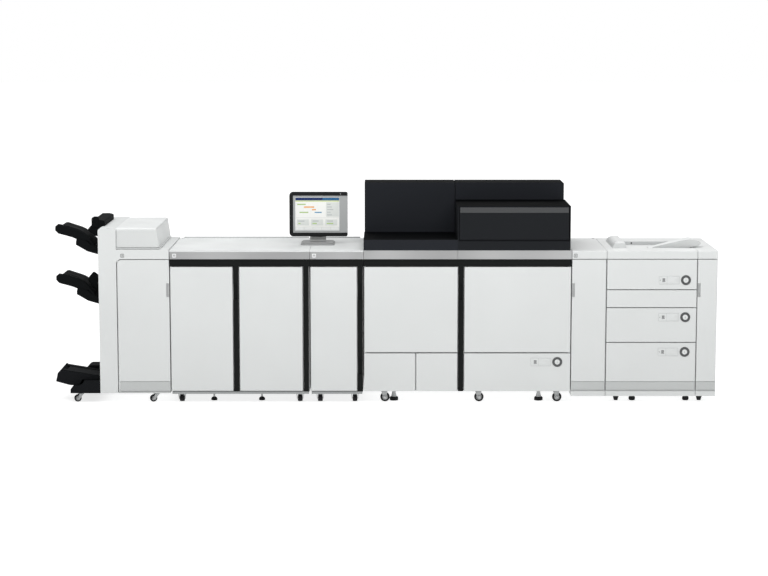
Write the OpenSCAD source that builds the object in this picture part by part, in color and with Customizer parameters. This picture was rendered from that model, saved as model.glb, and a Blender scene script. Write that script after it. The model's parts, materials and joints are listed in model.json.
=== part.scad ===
// Digital production printing line: finisher, fusing station, bridge station,
// printing engine with toner supply, and paper deck, standing side by side.
// X runs along the line from the output trays to the paper deck, Y runs from
// the operator's side to the rear, Z is up, and the origin is on the floor.

/* [Line] */
// Height of the worktop's front edge above the floor
top_h = 1040; // [1020:1:1080]
// Depth of the line, front faces to rear covers
line_d = 794; // [780:2:820]
// Width of the finisher
finisher_w = 478; // [460:1:520]
// Width of the fusing station
fuser_w = 944; // [900:1:1000]
// Width of the bridge station
bridge_w = 362; // [340:1:400]
// Width of the printing engine
engine_w = 1400; // [1380:1:1420]
// Width of the paper deck
deck_w = 985; // [970:1:1000]
// How far the output trays reach out of the finisher
tray_reach = 308; // [300:1:340]

/* [Front] */
// Thickness of the doors and drawer fronts
door_t = 18; // [16:1:20]
// Seam round every door, drawer and module
seam = 6; // [6:0.5:8]
// Height of the doors' black header
header_h = 48; // [40:1:56]
// Width of the black posts between the doors, with the seams beside them
post_w = 46; // [44:1:50]
// Depth of the service bays behind the doors
bay_d = 86; // [60:1:110]
// Height of the seam across the printing engine
engine_seam_z = 345; // [330:1:360]

/* [Finisher] */
// Width of the tall column on the tray side
column_w = 120; // [110:1:124]
// Height of the column
column_h = 1188; // [1180:1:1200]
// Height of the raised top cover
cover_h = 1188; // [1160:1:1188]
// Height between the two output trays
tray_pitch = 337.5; // [330:0.5:345]

/* [Toner tower] */
// Height of the tower
tower_h = 1456; // [1420:1:1500]
// Distance from the front face to the tower's front
tower_y = 500; // [480:1:520]
// Depth of the tower
tower_d = 246; // [220:1:260]
// Height of the toner supply box
toner_h = 1338; // [1300:1:1360]
// Height of the seam round the toner supply box
toner_seam_z = 1109; // [1100:1:1120]

/* [Operator console] */
// Width of the screen housing
console_w = 401; // [390:1:420]
// Height of the screen housing
console_h = 307; // [290:1:320]
// Height of the screen housing's lower edge
console_z = 1094; // [1085:1:1120]

/* [Paper deck] */
// Width of the drawers
drawer_w = 604; // [598:1:610]
// Height of the grey kick band's top edge
kick_top = 149; // [140:1:160]

/* [Hidden] */
$fn = 48;

// Colours
white = [0.89, 0.90, 0.895];
top_white = [0.92, 0.93, 0.925];
kick_grey = [0.74, 0.75, 0.745];
black = [0.12, 0.13, 0.13];
charcoal = [0.16, 0.165, 0.18];
silver = [0.68, 0.69, 0.69];
rail_grey = [0.55, 0.56, 0.56];
grip_grey = [0.66, 0.67, 0.67];
ring_grey = [0.30, 0.31, 0.31];
inner_grey = [0.35, 0.36, 0.37];

// Places along the line
line_w = finisher_w + fuser_w + bridge_w + engine_w + deck_w;
half_seam = seam / 2;
finisher_x = (tray_reach - line_w + half_seam) / 2;
fuser_x = finisher_x + finisher_w;
bridge_x = fuser_x + fuser_w;
engine_x = bridge_x + bridge_w;
deck_x = engine_x + engine_w;

// Front, rear and the planes between them
front = -line_d / 2;
rear = line_d / 2;
cabinet_y = front + door_t + seam;
bay_y = cabinet_y + bay_d;
rear_cover_t = 6;
cabinet_rear = rear - rear_cover_t;

// Heights
silver_z = 981;
header_z = silver_z - header_h;
rail_top = 78;
rail_bottom = 62;
z_gap = 5;
door_top = header_z - z_gap;
door_bottom = rail_top + z_gap;
engine_door_bottom = engine_seam_z + 3;
engine_lower_top = engine_seam_z - 5.5;
engine_bottom = 80;
finisher_bottom = 66;
finisher_door_top = 976;
finisher_door_bottom = 78;
shelf_z = 1046;
deck_band_z = 983;
deck_top_h = 1037;
deck_door_top = deck_band_z - z_gap;
deck_door_bottom = 86;
skirt_top = deck_door_bottom - z_gap;
skirt_bottom = 47;
worktop_t = 10;

// Door hinges: the hinge edge is a half round about the pivot
pivot_r = door_t / 2;
pin_r = 3.5;
pin_fit = 0.05;
pin_len = 11;
edge_r = 4;

// Where the black posts start in each station, from the station's left side
fuser_post = 423;
fuser_end_post = fuser_w - post_w - half_seam;
bridge_post = bridge_w - post_w;
engine_post = 633;
post_solid_w = post_w - 2 * seam;

// Drawers of the paper deck
drawer_x = 239;
drawer_gap = seam;
deck_left_w = drawer_x - drawer_gap - half_seam;
deck_right_x = drawer_x + drawer_w + drawer_gap;
deck_right_w = deck_w - half_seam - deck_right_x;
drawer_fronts = [[777, deck_door_top], [418, 649], [deck_door_bottom, 412]];
fixed_front = [655, 771];
ring_z = [839, 587, 350];
ring_x = 769;
engine_ring = [1309, 281];
ring_outer = 33;
ring_inner = 20;
box_wall = 5;
box_d = 560;
runner_h = 14;
runner_w = 12;
runner_play = 0.4;

// Rectangle with its four corners rounded
module rounded_rect(w, h, r) {
  translate([r, 0]) square([w - 2 * r, h]);
  translate([0, r]) square([w, h - 2 * r]);
  for (x = [r, w - r], y = [r, h - r]) translate([x, y]) circle(r);
}

// Extrudes a profile drawn in X and Z along Y
module along_y(y0, y1) {
  translate([0, y1, 0]) rotate([90, 0, 0]) linear_extrude(y1 - y0) children();
}

// Extrudes a profile drawn in Y and Z along X
module along_x(x0, x1) {
  translate([x0, 0, 0]) rotate([90, 0, 90]) linear_extrude(x1 - x0) children();
}

// Plan of a door: half round about the pivot at the origin, soft free edge
module door_plan(w) {
  reach = w - pivot_r;
  circle(pivot_r);
  translate([0, -pivot_r]) square([reach - edge_r, door_t]);
  translate([0, edge_r - pivot_r]) square([reach, door_t - 2 * edge_r]);
  for (y = [edge_r - pivot_r, pivot_r - edge_r]) {
    translate([reach - edge_r, y]) circle(edge_r);
  }
}

// A door on its two pivot pins; hinge_x is the outer side of its hinge edge
module hinged_door(hinge_x, w, z0, z1, right = false, foot_pin = pin_len) {
  side = right ? -1 : 1;
  translate([hinge_x + side * pivot_r, front + pivot_r, 0]) {
    mirror([right ? 1 : 0, 0, 0]) {
      translate([0, 0, z0]) linear_extrude(z1 - z0) door_plan(w);
      translate([0, 0, z0 - foot_pin]) cylinder(r = pin_r, h = z1 - z0 + foot_pin + pin_len);
    }
  }
}

// Kick strips: grey skins let into the foot of a door or drawer
kick_t = 2.4;
kick_d = 5.4;
kick_inset = 4;

// Rebate for a kick strip, from x0 to x1
module kick_rebate(x0, x1, z0) {
  translate([x0, front - 1, z0 - 1]) cube([x1 - x0, kick_d + 1, kick_top - z0 + 1]);
}

// The grey kick strip itself, its top edge leaning back
module kick_strip(x0, x1, z0) {
  y0 = kick_d - kick_t;
  translate([0, front, 0]) along_x(x0, x1) {
    polygon([[y0, z0], [kick_d, z0], [kick_d, kick_top - 0.5], [y0 + 2, kick_top - 0.5],
      [y0, kick_top - 6]]);
  }
}

// The bore for a door's pivot pin, to be cut out of what carries it
module pivot_bore(hinge_x, z0, z1, right = false, pivot = pivot_r) {
  side = right ? -1 : 1;
  translate([hinge_x + side * pivot, front + pivot, z0]) {
    cylinder(r = pin_r + pin_fit, h = z1 - z0);
  }
}

// A service bay cut into a cabinet's front
module bay(x0, x1, z0, z1) {
  translate([x0, cabinet_y - 1, z0]) cube([x1 - x0, bay_d + 1, z1 - z0]);
}

// Inner cover at the back of a bay, with raised fields
module bay_cover(x0, x1, z0, z1) {
  cover_t = 14;
  margin = 1;
  translate([x0 + margin, bay_y - cover_t, z0 + margin]) {
    difference() {
      cube([x1 - x0 - 2 * margin, cover_t - margin, z1 - z0 - 2 * margin]);
      for (k = [0 : 3]) {
        h = (z1 - z0 - 60) / 4;
        translate([20, -1, 20 + k * (h + 6)]) cube([x1 - x0 - 44, 3.2, h - 6]);
      }
    }
  }
}

module finisher_cabinet() color(white) {
  translate([finisher_x, 0, 0]) {
    difference() {
      union() {
        along_y(front, cabinet_rear) {
          column_r = 18;
          translate([0, finisher_bottom]) square([column_w, column_h - finisher_bottom - column_r]);
          translate([column_r, column_h - column_r]) {
            square([column_w - column_r, column_r]);
            circle(column_r);
          }
        }
        translate([column_w - 1, front, finisher_bottom]) {
          cube([finisher_w - half_seam - column_w + 1, cabinet_rear - front, shelf_z - finisher_bottom]);
        }
      }
      finisher_door_opening();
      translate([-finisher_x, 0, 0]) finisher_door_bores();
      bay(column_w + 20, finisher_w - 24, 170, 940);
    }
  }
}

// Corner radius of the finisher's door, and its pivot's distance from both faces
finisher_corner_r = 30;
corner_pivot = 5;

// The rebate that the finisher's door closes into, its corner over the hinge rounded
module finisher_door_opening() {
  z0 = finisher_door_bottom - z_gap;
  z1 = finisher_door_top + z_gap;
  r = finisher_corner_r + z_gap;
  along_y(front - 1, cabinet_y) {
    translate([column_w, z0]) square([finisher_w - column_w, z1 - z0 - r]);
    translate([column_w + r, z1 - r]) {
      square([finisher_w - column_w - r, r]);
      circle(r);
    }
  }
}

// Bores for that door's pins, and room for its edge to swing in the round corner
module finisher_door_bores() {
  hinge_x = finisher_x + column_w + seam;
  pivot_bore(hinge_x, finisher_bottom - 1, finisher_door_bottom, false, corner_pivot);
  pivot_bore(hinge_x, finisher_door_top - 10, finisher_door_top + 14, false, corner_pivot);
  translate([hinge_x + corner_pivot, front + corner_pivot, finisher_door_top - finisher_corner_r - 2]) {
    cylinder(r = 7.5, h = finisher_corner_r - 5);
  }
}

// The finisher's raised top cover
top_cover_w = 274;
top_cover_slope = 18;
top_cover_gap = shelf_z + 13.5;
top_cover_y0 = front + 12;

// Its outline across the line: a rounded brow and a right side that leans out
module top_cover_profile() {
  brow_r = 14;
  translate([0, top_cover_gap]) square([top_cover_w, cover_h - top_cover_gap - brow_r]);
  translate([0, cover_h - brow_r - 1]) square([top_cover_w - brow_r, brow_r + 1]);
  translate([top_cover_w - brow_r, cover_h - brow_r]) circle(brow_r);
  polygon([[top_cover_w - 1, top_cover_gap], [top_cover_w + top_cover_slope, top_cover_gap],
    [top_cover_w, cover_h - brow_r]]);
}

// A block with softened edges over two shadow lines and a foot
module finisher_top_cover() color(top_white) {
  foot_w = top_cover_w + top_cover_slope;
  cover_y1 = cabinet_rear - 20;
  d = cover_y1 - top_cover_y0;
  round_r = 26;
  edge = 18;
  line_h = 3;
  translate([finisher_x + column_w, 0, 0]) {
    intersection() {
      along_y(top_cover_y0, cover_y1) top_cover_profile();
      translate([-round_r * 2, top_cover_y0, shelf_z]) {
        linear_extrude(cover_h) rounded_rect(foot_w + round_r * 2, d, round_r);
      }
      along_x(-1, foot_w + 1) {
        translate([top_cover_y0, shelf_z]) square([d, cover_h - shelf_z - edge]);
        translate([top_cover_y0 + edge, cover_h - edge - 1]) square([d - 2 * edge, edge + 1]);
        for (y = [top_cover_y0 + edge, cover_y1 - edge]) translate([y, cover_h - edge]) circle(edge);
      }
    }
    // Foot strip between the two lines, on a neck set back behind them
    translate([0, top_cover_y0, shelf_z + line_h]) {
      cube([foot_w + 4, d, top_cover_gap - shelf_z - 2 * line_h]);
    }
    translate([0, top_cover_y0 + 9, shelf_z]) cube([top_cover_w, d - 18, top_cover_gap - shelf_z + 1]);
  }
}

// Outline of the upper exit hood: it climbs the wall and rests on the column's top
module upper_hood_profile() {
  seat = column_h + 0.4;
  polygon([[-0.2, 1112], [-0.2, column_h - 10.5], [10.8, seat], [28, seat], [28, 1219], [22, 1225],
    [-2, 1231], [-50, 1230], [-60, 1221], [-60, 1198], [-72, 1186], [-88, 1166], [-84, 1157],
    [-62, 1140], [-36, 1122]]);
}

// Outline of the sensor cover at the upper hood's near end
module hood_cover_profile() {
  polygon([[-61, 1180], [-61, 1238], [-57, 1246], [-48, 1251], [-22, 1251], [-16, 1247], [-16, 1180]]);
}

// Outline of the lower exit hood, a low lip over the paper slot
module lower_hood_profile() {
  polygon([[0, 738], [0, 812], [-38, 812], [-58, 801], [-72, 784], [-60, 769], [-30, 744]]);
}

// Outline of the peaked lever cover at the lower hood's near end
module lever_cover_profile() {
  polygon([[0, 760], [0, 840], [-24, 856], [-50, 875], [-58, 874], [-84, 843], [-90, 828],
    [-86, 812], [-60, 772]]);
}

module exit_hoods() color(black) {
  hood_y = [front + 150, front + 640];
  cover_d = 42;
  lever_d = 25;
  translate([finisher_x, 0, 0]) {
    difference() {
      along_y(hood_y[0] + 4, hood_y[1]) upper_hood_profile();
      // Shadow line between the hood's lid and its lip
      translate([-100, hood_y[0] + cover_d + 14, 1193]) cube([44, 500, 3]);
    }
    difference() {
      along_y(hood_y[0], hood_y[0] + cover_d) hood_cover_profile();
      translate([-52, hood_y[0] - 1, 1214]) cube([26, 3, 3]);
    }
    along_y(hood_y[0] + 4, hood_y[1]) lower_hood_profile();
    along_y(hood_y[0], hood_y[0] + lever_d) lever_cover_profile();
  }
}

// Two guide rails for each output tray, on the finisher's side
rail_y = [front + 190, front + 490];
tray_rail_w = 34;
tray_rail_t = 6;
shoe_z0 = 628;
shoe_z1 = 682;

module tray_rails() color(black) {
  for (y = rail_y, z = [[216, 700], [850, 1060]]) {
    translate([finisher_x - tray_rail_t, y, z[0]]) cube([tray_rail_t, tray_rail_w, z[1] - z[0]]);
  }
}

// Tray sections in X (outwards from the finisher) and Z, at the lower place
tray_tip = 305;
tray_y0 = front + 100;
tray_y1 = front + 590;

// Side outline of the tray's bed: a flat arm, then a dish down to the wall
module tray_bed_profile() {
  polygon([[-tray_tip, 825], [-297, 834], [-284, 835], [-186, 803], [-160, 791], [-120, 762],
    [-96, 735], [-62, 706], [-12, 692], [-12, 674], [-66, 684], [-100, 716], [-126, 746],
    [-166, 776], [-190, 786], [-284, 816], [-302, 818]]);
}

// The raised near edge, station by station: place along X, then the heights of
// its foot, front brow, crest and inner foot, and how far its end draws in
near_edge = [
  [-302, 826, 846, 853, 828, 14],
  [-280, 806, 861, 870, 834, 2],
  [-230, 793, 852, 861, 818, 0],
  [-187, 781, 839, 848.5, 801, 0],
  [-141, 762, 825, 834, 778, 0],
  [-107, 762, 806, 815, 746, 0],
  [-78, 757, 778, 787, 722, 0],
  [-40, 712, 722, 730, 699, 0]];

// Section of the near edge at one station
module edge_section(s) {
  crest_y = [8, 24];
  inner_y = 62;
  translate([s[0], tray_y0, 0]) rotate([90, 0, 90]) linear_extrude(0.2) {
    polygon([[s[5], s[1]], [s[5], s[2]], [s[5] + crest_y[0], s[3]], [crest_y[1], s[3]],
      [inner_y, s[4]], [inner_y, s[4] - 14]]);
  }
}

// Side cheeks under the tray, near the wall
module tray_cheek_profile() {
  polygon([[-155, 777], [-161.5, 752], [-161.5, 730], [-84, 685], [-17, 666], [-12, 664],
    [-12, 709], [-60, 730], [-91, 755]]);
}

// Outline of the two brackets that carry the tray
module tray_bracket_profile() {
  polygon([[-190, 782], [-167, 757], [-167, 732], [-93, 687], [-22, 666], [-22, shoe_z0 + 4],
    [-12, shoe_z0], [-12, 685], [-66, 690], [-104, 722], [-130, 752]]);
}

// A shoe that grips a guide rail from both sides
module tray_shoe(y) {
  lip = 7;
  play = 0.6;
  difference() {
    translate([-20, y - lip, shoe_z0]) cube([18.5, tray_rail_w + 2 * lip, shoe_z1 - shoe_z0]);
    translate([-tray_rail_t - play, y - play, shoe_z0 - 1]) {
      cube([20, tray_rail_w + 2 * play, shoe_z1 - shoe_z0 + 2]);
    }
  }
}

// An output tray: a dished bed with a raised near edge, on cheeks, brackets and shoes
module output_tray(lift) {
  grooves = 4;
  groove_y = tray_y0 + 130;
  groove_pitch = 88;
  cheek_t = 10;
  translate([finisher_x, 0, lift]) {
    difference() {
      union() {
        along_y(tray_y0 + 40, tray_y1) tray_bed_profile();
        for (k = [0 : len(near_edge) - 2]) {
          hull() {
            edge_section(near_edge[k]);
            edge_section(near_edge[k + 1]);
          }
        }
        along_y(tray_y0 - 2, tray_y0 + cheek_t) tray_cheek_profile();
        for (y = rail_y) along_y(y - 7, y + tray_rail_w + 7) tray_bracket_profile();
      }
      // Long grooves that let air out from under the sheets
      for (k = [0 : grooves - 1]) {
        translate([-274, groove_y + k * groove_pitch, 828]) {
          rotate([0, 18, 0]) cube([88, 10, 12]);
        }
      }
      // The far corner, rounded in plan
      translate([-tray_tip - 1, tray_y1 - 30, 780]) difference() {
        cube([31, 31, 80]);
        translate([31, 0, -1]) cylinder(r = 30, h = 82);
      }
    }
    for (y = rail_y) tray_shoe(y);
  }
}

module upper_tray() color(black) output_tray(tray_pitch);
module lower_tray() color(black) output_tray(0);

// The booklet folder's housing, a low case with a coved top
booklet_y1 = rear - 120;

module booklet_housing() color(black) {
  cove_r = 46;
  translate([finisher_x, 0, 0]) {
    along_y(front, booklet_y1) {
      difference() {
        polygon([[0, finisher_bottom], [-203, finisher_bottom], [-203, 92], [-196, 104], [-184, 111],
          [-156, 116], [-130, 150], [0, 150]]);
        translate([-156, 116 + cove_r]) circle(cove_r);
      }
    }
  }
}

// Booklet tray: a sloping bed with two long ribs and an upturned end
module booklet_tray() color(black) {
  bed_y0 = front + 50;
  bed_y1 = front + 322;
  rib_y = [[front + 58, 8], [front + 250, 8]];
  translate([finisher_x, 0, 0]) {
    difference() {
      along_y(bed_y0, bed_y1) {
        polygon([[0, 151.5], [0, 172], [-262, 214], [-272, 222], [-295, 197], [-tray_reach, 139],
          [-217, 114], [-206, 112.5], [-184, 112.5], [-150, 118], [-128, 151.5]]);
      }
      // Scoop for the hand at the tray's end
      translate([-tray_reach, (bed_y0 + bed_y1) / 2 + 10, 250]) rotate([0, 90, 0]) cylinder(r = 76, h = 70);
    }
    for (r = rib_y) along_y(r[0], r[0] + r[1]) polygon([[0, 170], [0, 177], [-262, 219], [-262, 212]]);
    along_y(bed_y1 - 1, bed_y1 + 150) {
      polygon([[0, 154], [0, 203], [-108, 203], [-122, 200], [-134, 190], [-134, 154]]);
    }
  }
}

// Plain cabinet body of one station between its front and its rear cover
module cabinet_body(x0, w, z0, z1) {
  translate([x0 + half_seam, cabinet_y, z0]) cube([w - seam, cabinet_rear - cabinet_y, z1 - z0]);
}

module fuser_cabinet() color(white) {
  difference() {
    cabinet_body(fuser_x, fuser_w, rail_top, top_h - worktop_t);
    translate([fuser_x, 0, 0]) {
      bay(24, fuser_post - 16, 110, 905);
      bay(fuser_post + post_w + 16, fuser_end_post - 24, 110, 905);
    }
  }
}

module bridge_cabinet() color(white) {
  difference() {
    cabinet_body(bridge_x, bridge_w, rail_top, top_h - worktop_t);
    translate([bridge_x, 0, 0]) bay(24, bridge_post - 16, 110, 905);
  }
}

// Size and place of the engine drawer's cavity
engine_drawer_x = engine_post + post_w;
engine_drawer_w = engine_w - half_seam - engine_drawer_x;

// Hinge leaves below the engine's doors, and the pins that stand in them
leaf_t = 3;
leaf_pin = 3.4;

module engine_cabinet() color(white) {
  difference() {
    union() {
      cabinet_body(engine_x, engine_w, engine_bottom, top_h);
      // Hinge leaves of the two upper doors
      for (x = [engine_x + half_seam, engine_x + engine_w - half_seam - door_t]) {
        translate([x, front + 1, engine_seam_z - 0.5]) cube([door_t, cabinet_y - front + 4, leaf_t]);
      }
    }
    translate([engine_x, 0, 0]) {
      bay(24, engine_post - 16, 375, 905);
      bay(engine_post + post_w + 16, engine_w - 24, 375, 905);
    }
    pivot_bore(engine_x + half_seam, engine_seam_z - 5, engine_seam_z + 5);
    pivot_bore(engine_x + engine_w - half_seam, engine_seam_z - 5, engine_seam_z + 5, true);
    drawer_cavity(engine_x + engine_drawer_x, engine_drawer_w, engine_bottom + 12, engine_lower_top);
  }
  drawer_runners(engine_x + engine_drawer_x, engine_drawer_w, engine_bottom + 12, engine_lower_top);
}

// The space that a drawer runs in
module drawer_cavity(x, w, z0, z1) {
  translate([x + 12, cabinet_y - 1, z0 + 6]) cube([w - 24, box_d + 21, z1 - z0 - 14]);
}

// Fixed runners on both sides of a drawer's cavity
module drawer_runners(x, w, z0, z1) {
  for (rx = [x + 11.5, x + w - 11.5 - runner_w]) {
    translate([rx, cabinet_y + 4, z0 + 40]) cube([runner_w, box_d, runner_h]);
  }
}

// A drawer: front panel, open box and its two slide bars
module drawer(x, w, z0, z1, cavity_z0) {
  box_x = x + 12 + runner_w + 6;
  box_w = w - 2 * (12 + runner_w + 6);
  box_z0 = cavity_z0 + 20;
  box_z1 = z1 - 30;
  difference() {
    union() {
      translate([x, front, z0]) linear_extrude(z1 - z0) rounded_rect(w, door_t, edge_r);
      translate([box_x, front + door_t - 2, box_z0]) cube([box_w, box_d, box_z1 - box_z0]);
      for (sx = [x + 14, x + w - 14 - runner_w - 8]) {
        translate([sx, front + door_t - 2, cavity_z0 + 40 + runner_h + runner_play]) {
          cube([runner_w + 8, box_d - 20, runner_h]);
        }
      }
    }
    translate([box_x + box_wall, front + door_t + 4, box_z0 + box_wall]) {
      cube([box_w - 2 * box_wall, box_d - 6 - 2 * box_wall, box_z1]);
    }
  }
}

// Round seat in a drawer's front for the ring handle
module ring_seat(x, z) {
  translate([x, front, z]) rotate([-90, 0, 0]) translate([0, 0, -1]) cylinder(r = ring_outer + 1, h = 5);
}

// Ring handle with its round release button
module ring_handle(x, z) {
  translate([x, front + 4, z]) rotate([90, 0, 0]) {
    rotate_extrude() {
      translate([ring_inner, 0]) square([ring_outer - ring_inner, 4]);
      translate([ring_inner + 2, 4]) square([ring_outer - ring_inner - 4, 3]);
      square([ring_inner, 1.5]);
      square([ring_inner - 2, 4]);
    }
  }
}

module engine_lower_covers() color(white) {
  split = 352;
  z0 = engine_bottom;
  z1 = engine_lower_top;
  translate([engine_x, front, z0]) {
    translate([half_seam, 0, 0]) linear_extrude(z1 - z0) {
      rounded_rect(split - seam, door_t + seam, edge_r);
    }
    translate([split + half_seam, 0, 0]) linear_extrude(z1 - z0) {
      rounded_rect(engine_post - half_seam - split, door_t + seam, edge_r);
    }
  }
}

module engine_drawer() color(white) {
  x = engine_x + engine_drawer_x;
  difference() {
    drawer(x, engine_drawer_w, engine_bottom, engine_lower_top, engine_bottom + 12);
    ring_seat(engine_x + engine_ring[0], engine_ring[1]);
  }
}

module engine_drawer_ring() color(ring_grey) ring_handle(engine_x + engine_ring[0], engine_ring[1]);

module inner_covers() color(inner_grey) {
  translate([finisher_x, 0, 0]) bay_cover(column_w + 20, finisher_w - 24, 170, 940);
  translate([fuser_x, 0, 0]) {
    bay_cover(24, fuser_post - 16, 110, 905);
    bay_cover(fuser_post + post_w + 16, fuser_end_post - 24, 110, 905);
  }
  translate([bridge_x, 0, 0]) bay_cover(24, bridge_post - 16, 110, 905);
  translate([engine_x, 0, 0]) {
    bay_cover(24, engine_post - 16, 375, 905);
    bay_cover(engine_post + post_w + 16, engine_w - 24, 375, 905);
  }
  translate([deck_x, 0, 0]) {
    bay_cover(20, drawer_x - 26, 130, 950);
    bay_cover(deck_right_x + 16, deck_w - 20, 130, 950);
  }
}

// One length of trim across a station's front
module trim(x, w, z0, z1, y0 = front) {
  translate([x + 1, y0, z0]) cube([w - 2, cabinet_y - y0, z1 - z0]);
}

module header_band() color(black) {
  difference() {
    union() {
      trim(fuser_x, fuser_w, header_z, silver_z);
      trim(bridge_x, bridge_w, header_z, silver_z);
      trim(engine_x, engine_w, header_z, silver_z);
    }
    z0 = header_z - 1;
    z1 = header_z + 10;
    pivot_bore(fuser_x + half_seam, z0, z1);
    pivot_bore(fuser_x + fuser_end_post, z0, z1, true);
    pivot_bore(bridge_x + half_seam, z0, z1);
    pivot_bore(engine_x + half_seam, z0, z1);
    pivot_bore(engine_x + engine_w - half_seam, z0, z1, true);
  }
}

module silver_trim() color(silver) {
  trim(fuser_x, fuser_w, silver_z, top_h - worktop_t);
  trim(bridge_x, bridge_w, silver_z, top_h - worktop_t);
  trim(engine_x, engine_post, silver_z, top_h);
  trim(engine_x + engine_post, engine_w - engine_post, silver_z, top_h);
}

// A black post with pull pockets for the door on its left
module post(x, z0, pockets = [706]) {
  pocket_w = 24;
  pocket_h = 108;
  difference() {
    translate([x + seam, front, z0]) cube([post_solid_w, cabinet_y - front, header_z - z0]);
    for (z = pockets) translate([x + seam - 1, front - 1, z]) cube([pocket_w + 1, 17, pocket_h]);
  }
}

module front_posts() color(black) {
  post(fuser_x + fuser_post, rail_top);
  post(fuser_x + fuser_end_post, rail_top, []);
  post(bridge_x + bridge_post, rail_top, [198, 706]);
  post(engine_x + engine_post, engine_bottom);
}

module base_rails() color(rail_grey) {
  difference() {
    union() {
      trim(fuser_x + 8, fuser_w - 16, rail_bottom, rail_top);
      translate([fuser_x + 9, cabinet_y - 1, rail_bottom]) {
        cube([fuser_w - 18, cabinet_rear - cabinet_y, rail_top - rail_bottom]);
      }
      trim(bridge_x + 8, bridge_w - 16, rail_bottom, rail_top);
      translate([bridge_x + 9, cabinet_y - 1, rail_bottom]) {
        cube([bridge_w - 18, cabinet_rear - cabinet_y, rail_top - rail_bottom]);
      }
    }
    z0 = rail_top - 9;
    z1 = rail_top + 1;
    pivot_bore(fuser_x + half_seam, z0, z1);
    pivot_bore(fuser_x + fuser_end_post, z0, z1, true);
    pivot_bore(bridge_x + half_seam, z0, z1);
  }
}

module worktops() color(top_white) {
  lip = 9;
  for (s = [[fuser_x, fuser_w], [bridge_x, bridge_w]]) {
    translate([s[0] + 1, front, top_h - worktop_t]) {
      cube([s[1] - 2, cabinet_rear - front, worktop_t]);
      translate([30, cabinet_rear - front - 24, 0]) cube([s[1] - 62, 24, worktop_t + lip]);
    }
  }
}

module tower_base() color(charcoal) {
  translate([engine_x, front, top_h]) cube([engine_post, tower_y, 72]);
}

module tower() color(charcoal) {
  corner_r = 10;
  split = 629;
  w = 1381;
  y0 = front + tower_y;
  along_y(y0, y0 + tower_d) {
    translate([engine_x + 3, top_h]) square([split - 4, tower_h - top_h]);
    translate([engine_x + 3 + split, top_h]) square([w - split, tower_h - top_h - corner_r]);
    translate([engine_x + 3 + split, tower_h - corner_r]) square([w - split - corner_r, corner_r]);
    translate([engine_x + 3 + w - corner_r, tower_h - corner_r]) circle(corner_r);
  }
}

// Toner supply: a fixed box with two cheeks, and the cover that tips out between them
toner_x = engine_post;
toner_w = 757;
toner_cover_t = 40;
cheek_t = 6;
toner_cover_x = cheek_t + z_gap;
toner_pivot_r = 10;
toner_pin_r = 4;

// A rod or bore on the toner cover's pivot axis
module toner_pivot(x0, x1, r) {
  translate([x0, toner_pivot_r, toner_seam_z + toner_pivot_r]) {
    rotate([0, 90, 0]) cylinder(r = r, h = x1 - x0);
  }
}

module toner_housing() color(charcoal) {
  wall = 24;
  bay_bottom = toner_seam_z + 12;
  translate([engine_x + toner_x, front, 0]) {
    difference() {
      translate([0, 0, top_h]) cube([toner_w, tower_y, toner_h - top_h]);
      translate([cheek_t, -1, toner_seam_z - 8]) {
        cube([toner_w - 2 * cheek_t, toner_cover_t + 8, toner_h]);
      }
      translate([wall, toner_cover_t, bay_bottom]) {
        cube([toner_w - 2 * wall, 400, toner_h - bay_bottom - 20]);
      }
      toner_pivot(-1, toner_w + 1, toner_pin_r + pin_fit);
    }
  }
}

module toner_cover() color(charcoal) {
  chamfer = 8;
  x0 = toner_cover_x;
  x1 = toner_w - toner_cover_x;
  translate([engine_x + toner_x, front, 0]) {
    difference() {
      along_x(x0, x1) {
        translate([toner_pivot_r, toner_seam_z + toner_pivot_r]) circle(toner_pivot_r);
        polygon([[0, toner_seam_z + toner_pivot_r], [toner_pivot_r, toner_seam_z],
          [toner_cover_t, toner_seam_z], [toner_cover_t, toner_h], [chamfer, toner_h],
          [0, toner_h - chamfer]]);
      }
      translate([x0 + 4, -1, toner_h - 44]) cube([x1 - x0 - 8, 4, 41]);
    }
    toner_pivot(0.5, toner_w - 0.5, toner_pin_r);
  }
}

module toner_cover_strip() color(ring_grey) {
  translate([engine_x + toner_x + toner_cover_x + 4, front, toner_h - 44]) {
    cube([toner_w - 2 * toner_cover_x - 8, 3, 36]);
  }
}

module toner_containers() color(black) {
  count = 6;
  pitch = 112;
  for (k = [0 : count - 1]) {
    x = engine_x + toner_x + 98 + k * pitch;
    translate([x, front + 70, toner_seam_z + 65]) rotate([-90, 0, 0]) cylinder(r = 44, h = 330);
  }
}

// The console stands over the seam between the fusing and bridge stations
console_x = bridge_x - 152;
console_y = front + 380;
console_t = 26;
stand_x = bridge_x + 43;
tilt_y = console_y + console_t + 20;
tilt_z = console_z + 130;
tilt_r = 14;
tilt_pin_r = 6;
barrel_w = 60;
bezel = 25;
screen_x = 39;
screen_z = 39;
screen_w = 306;
screen_h = 231;

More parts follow.
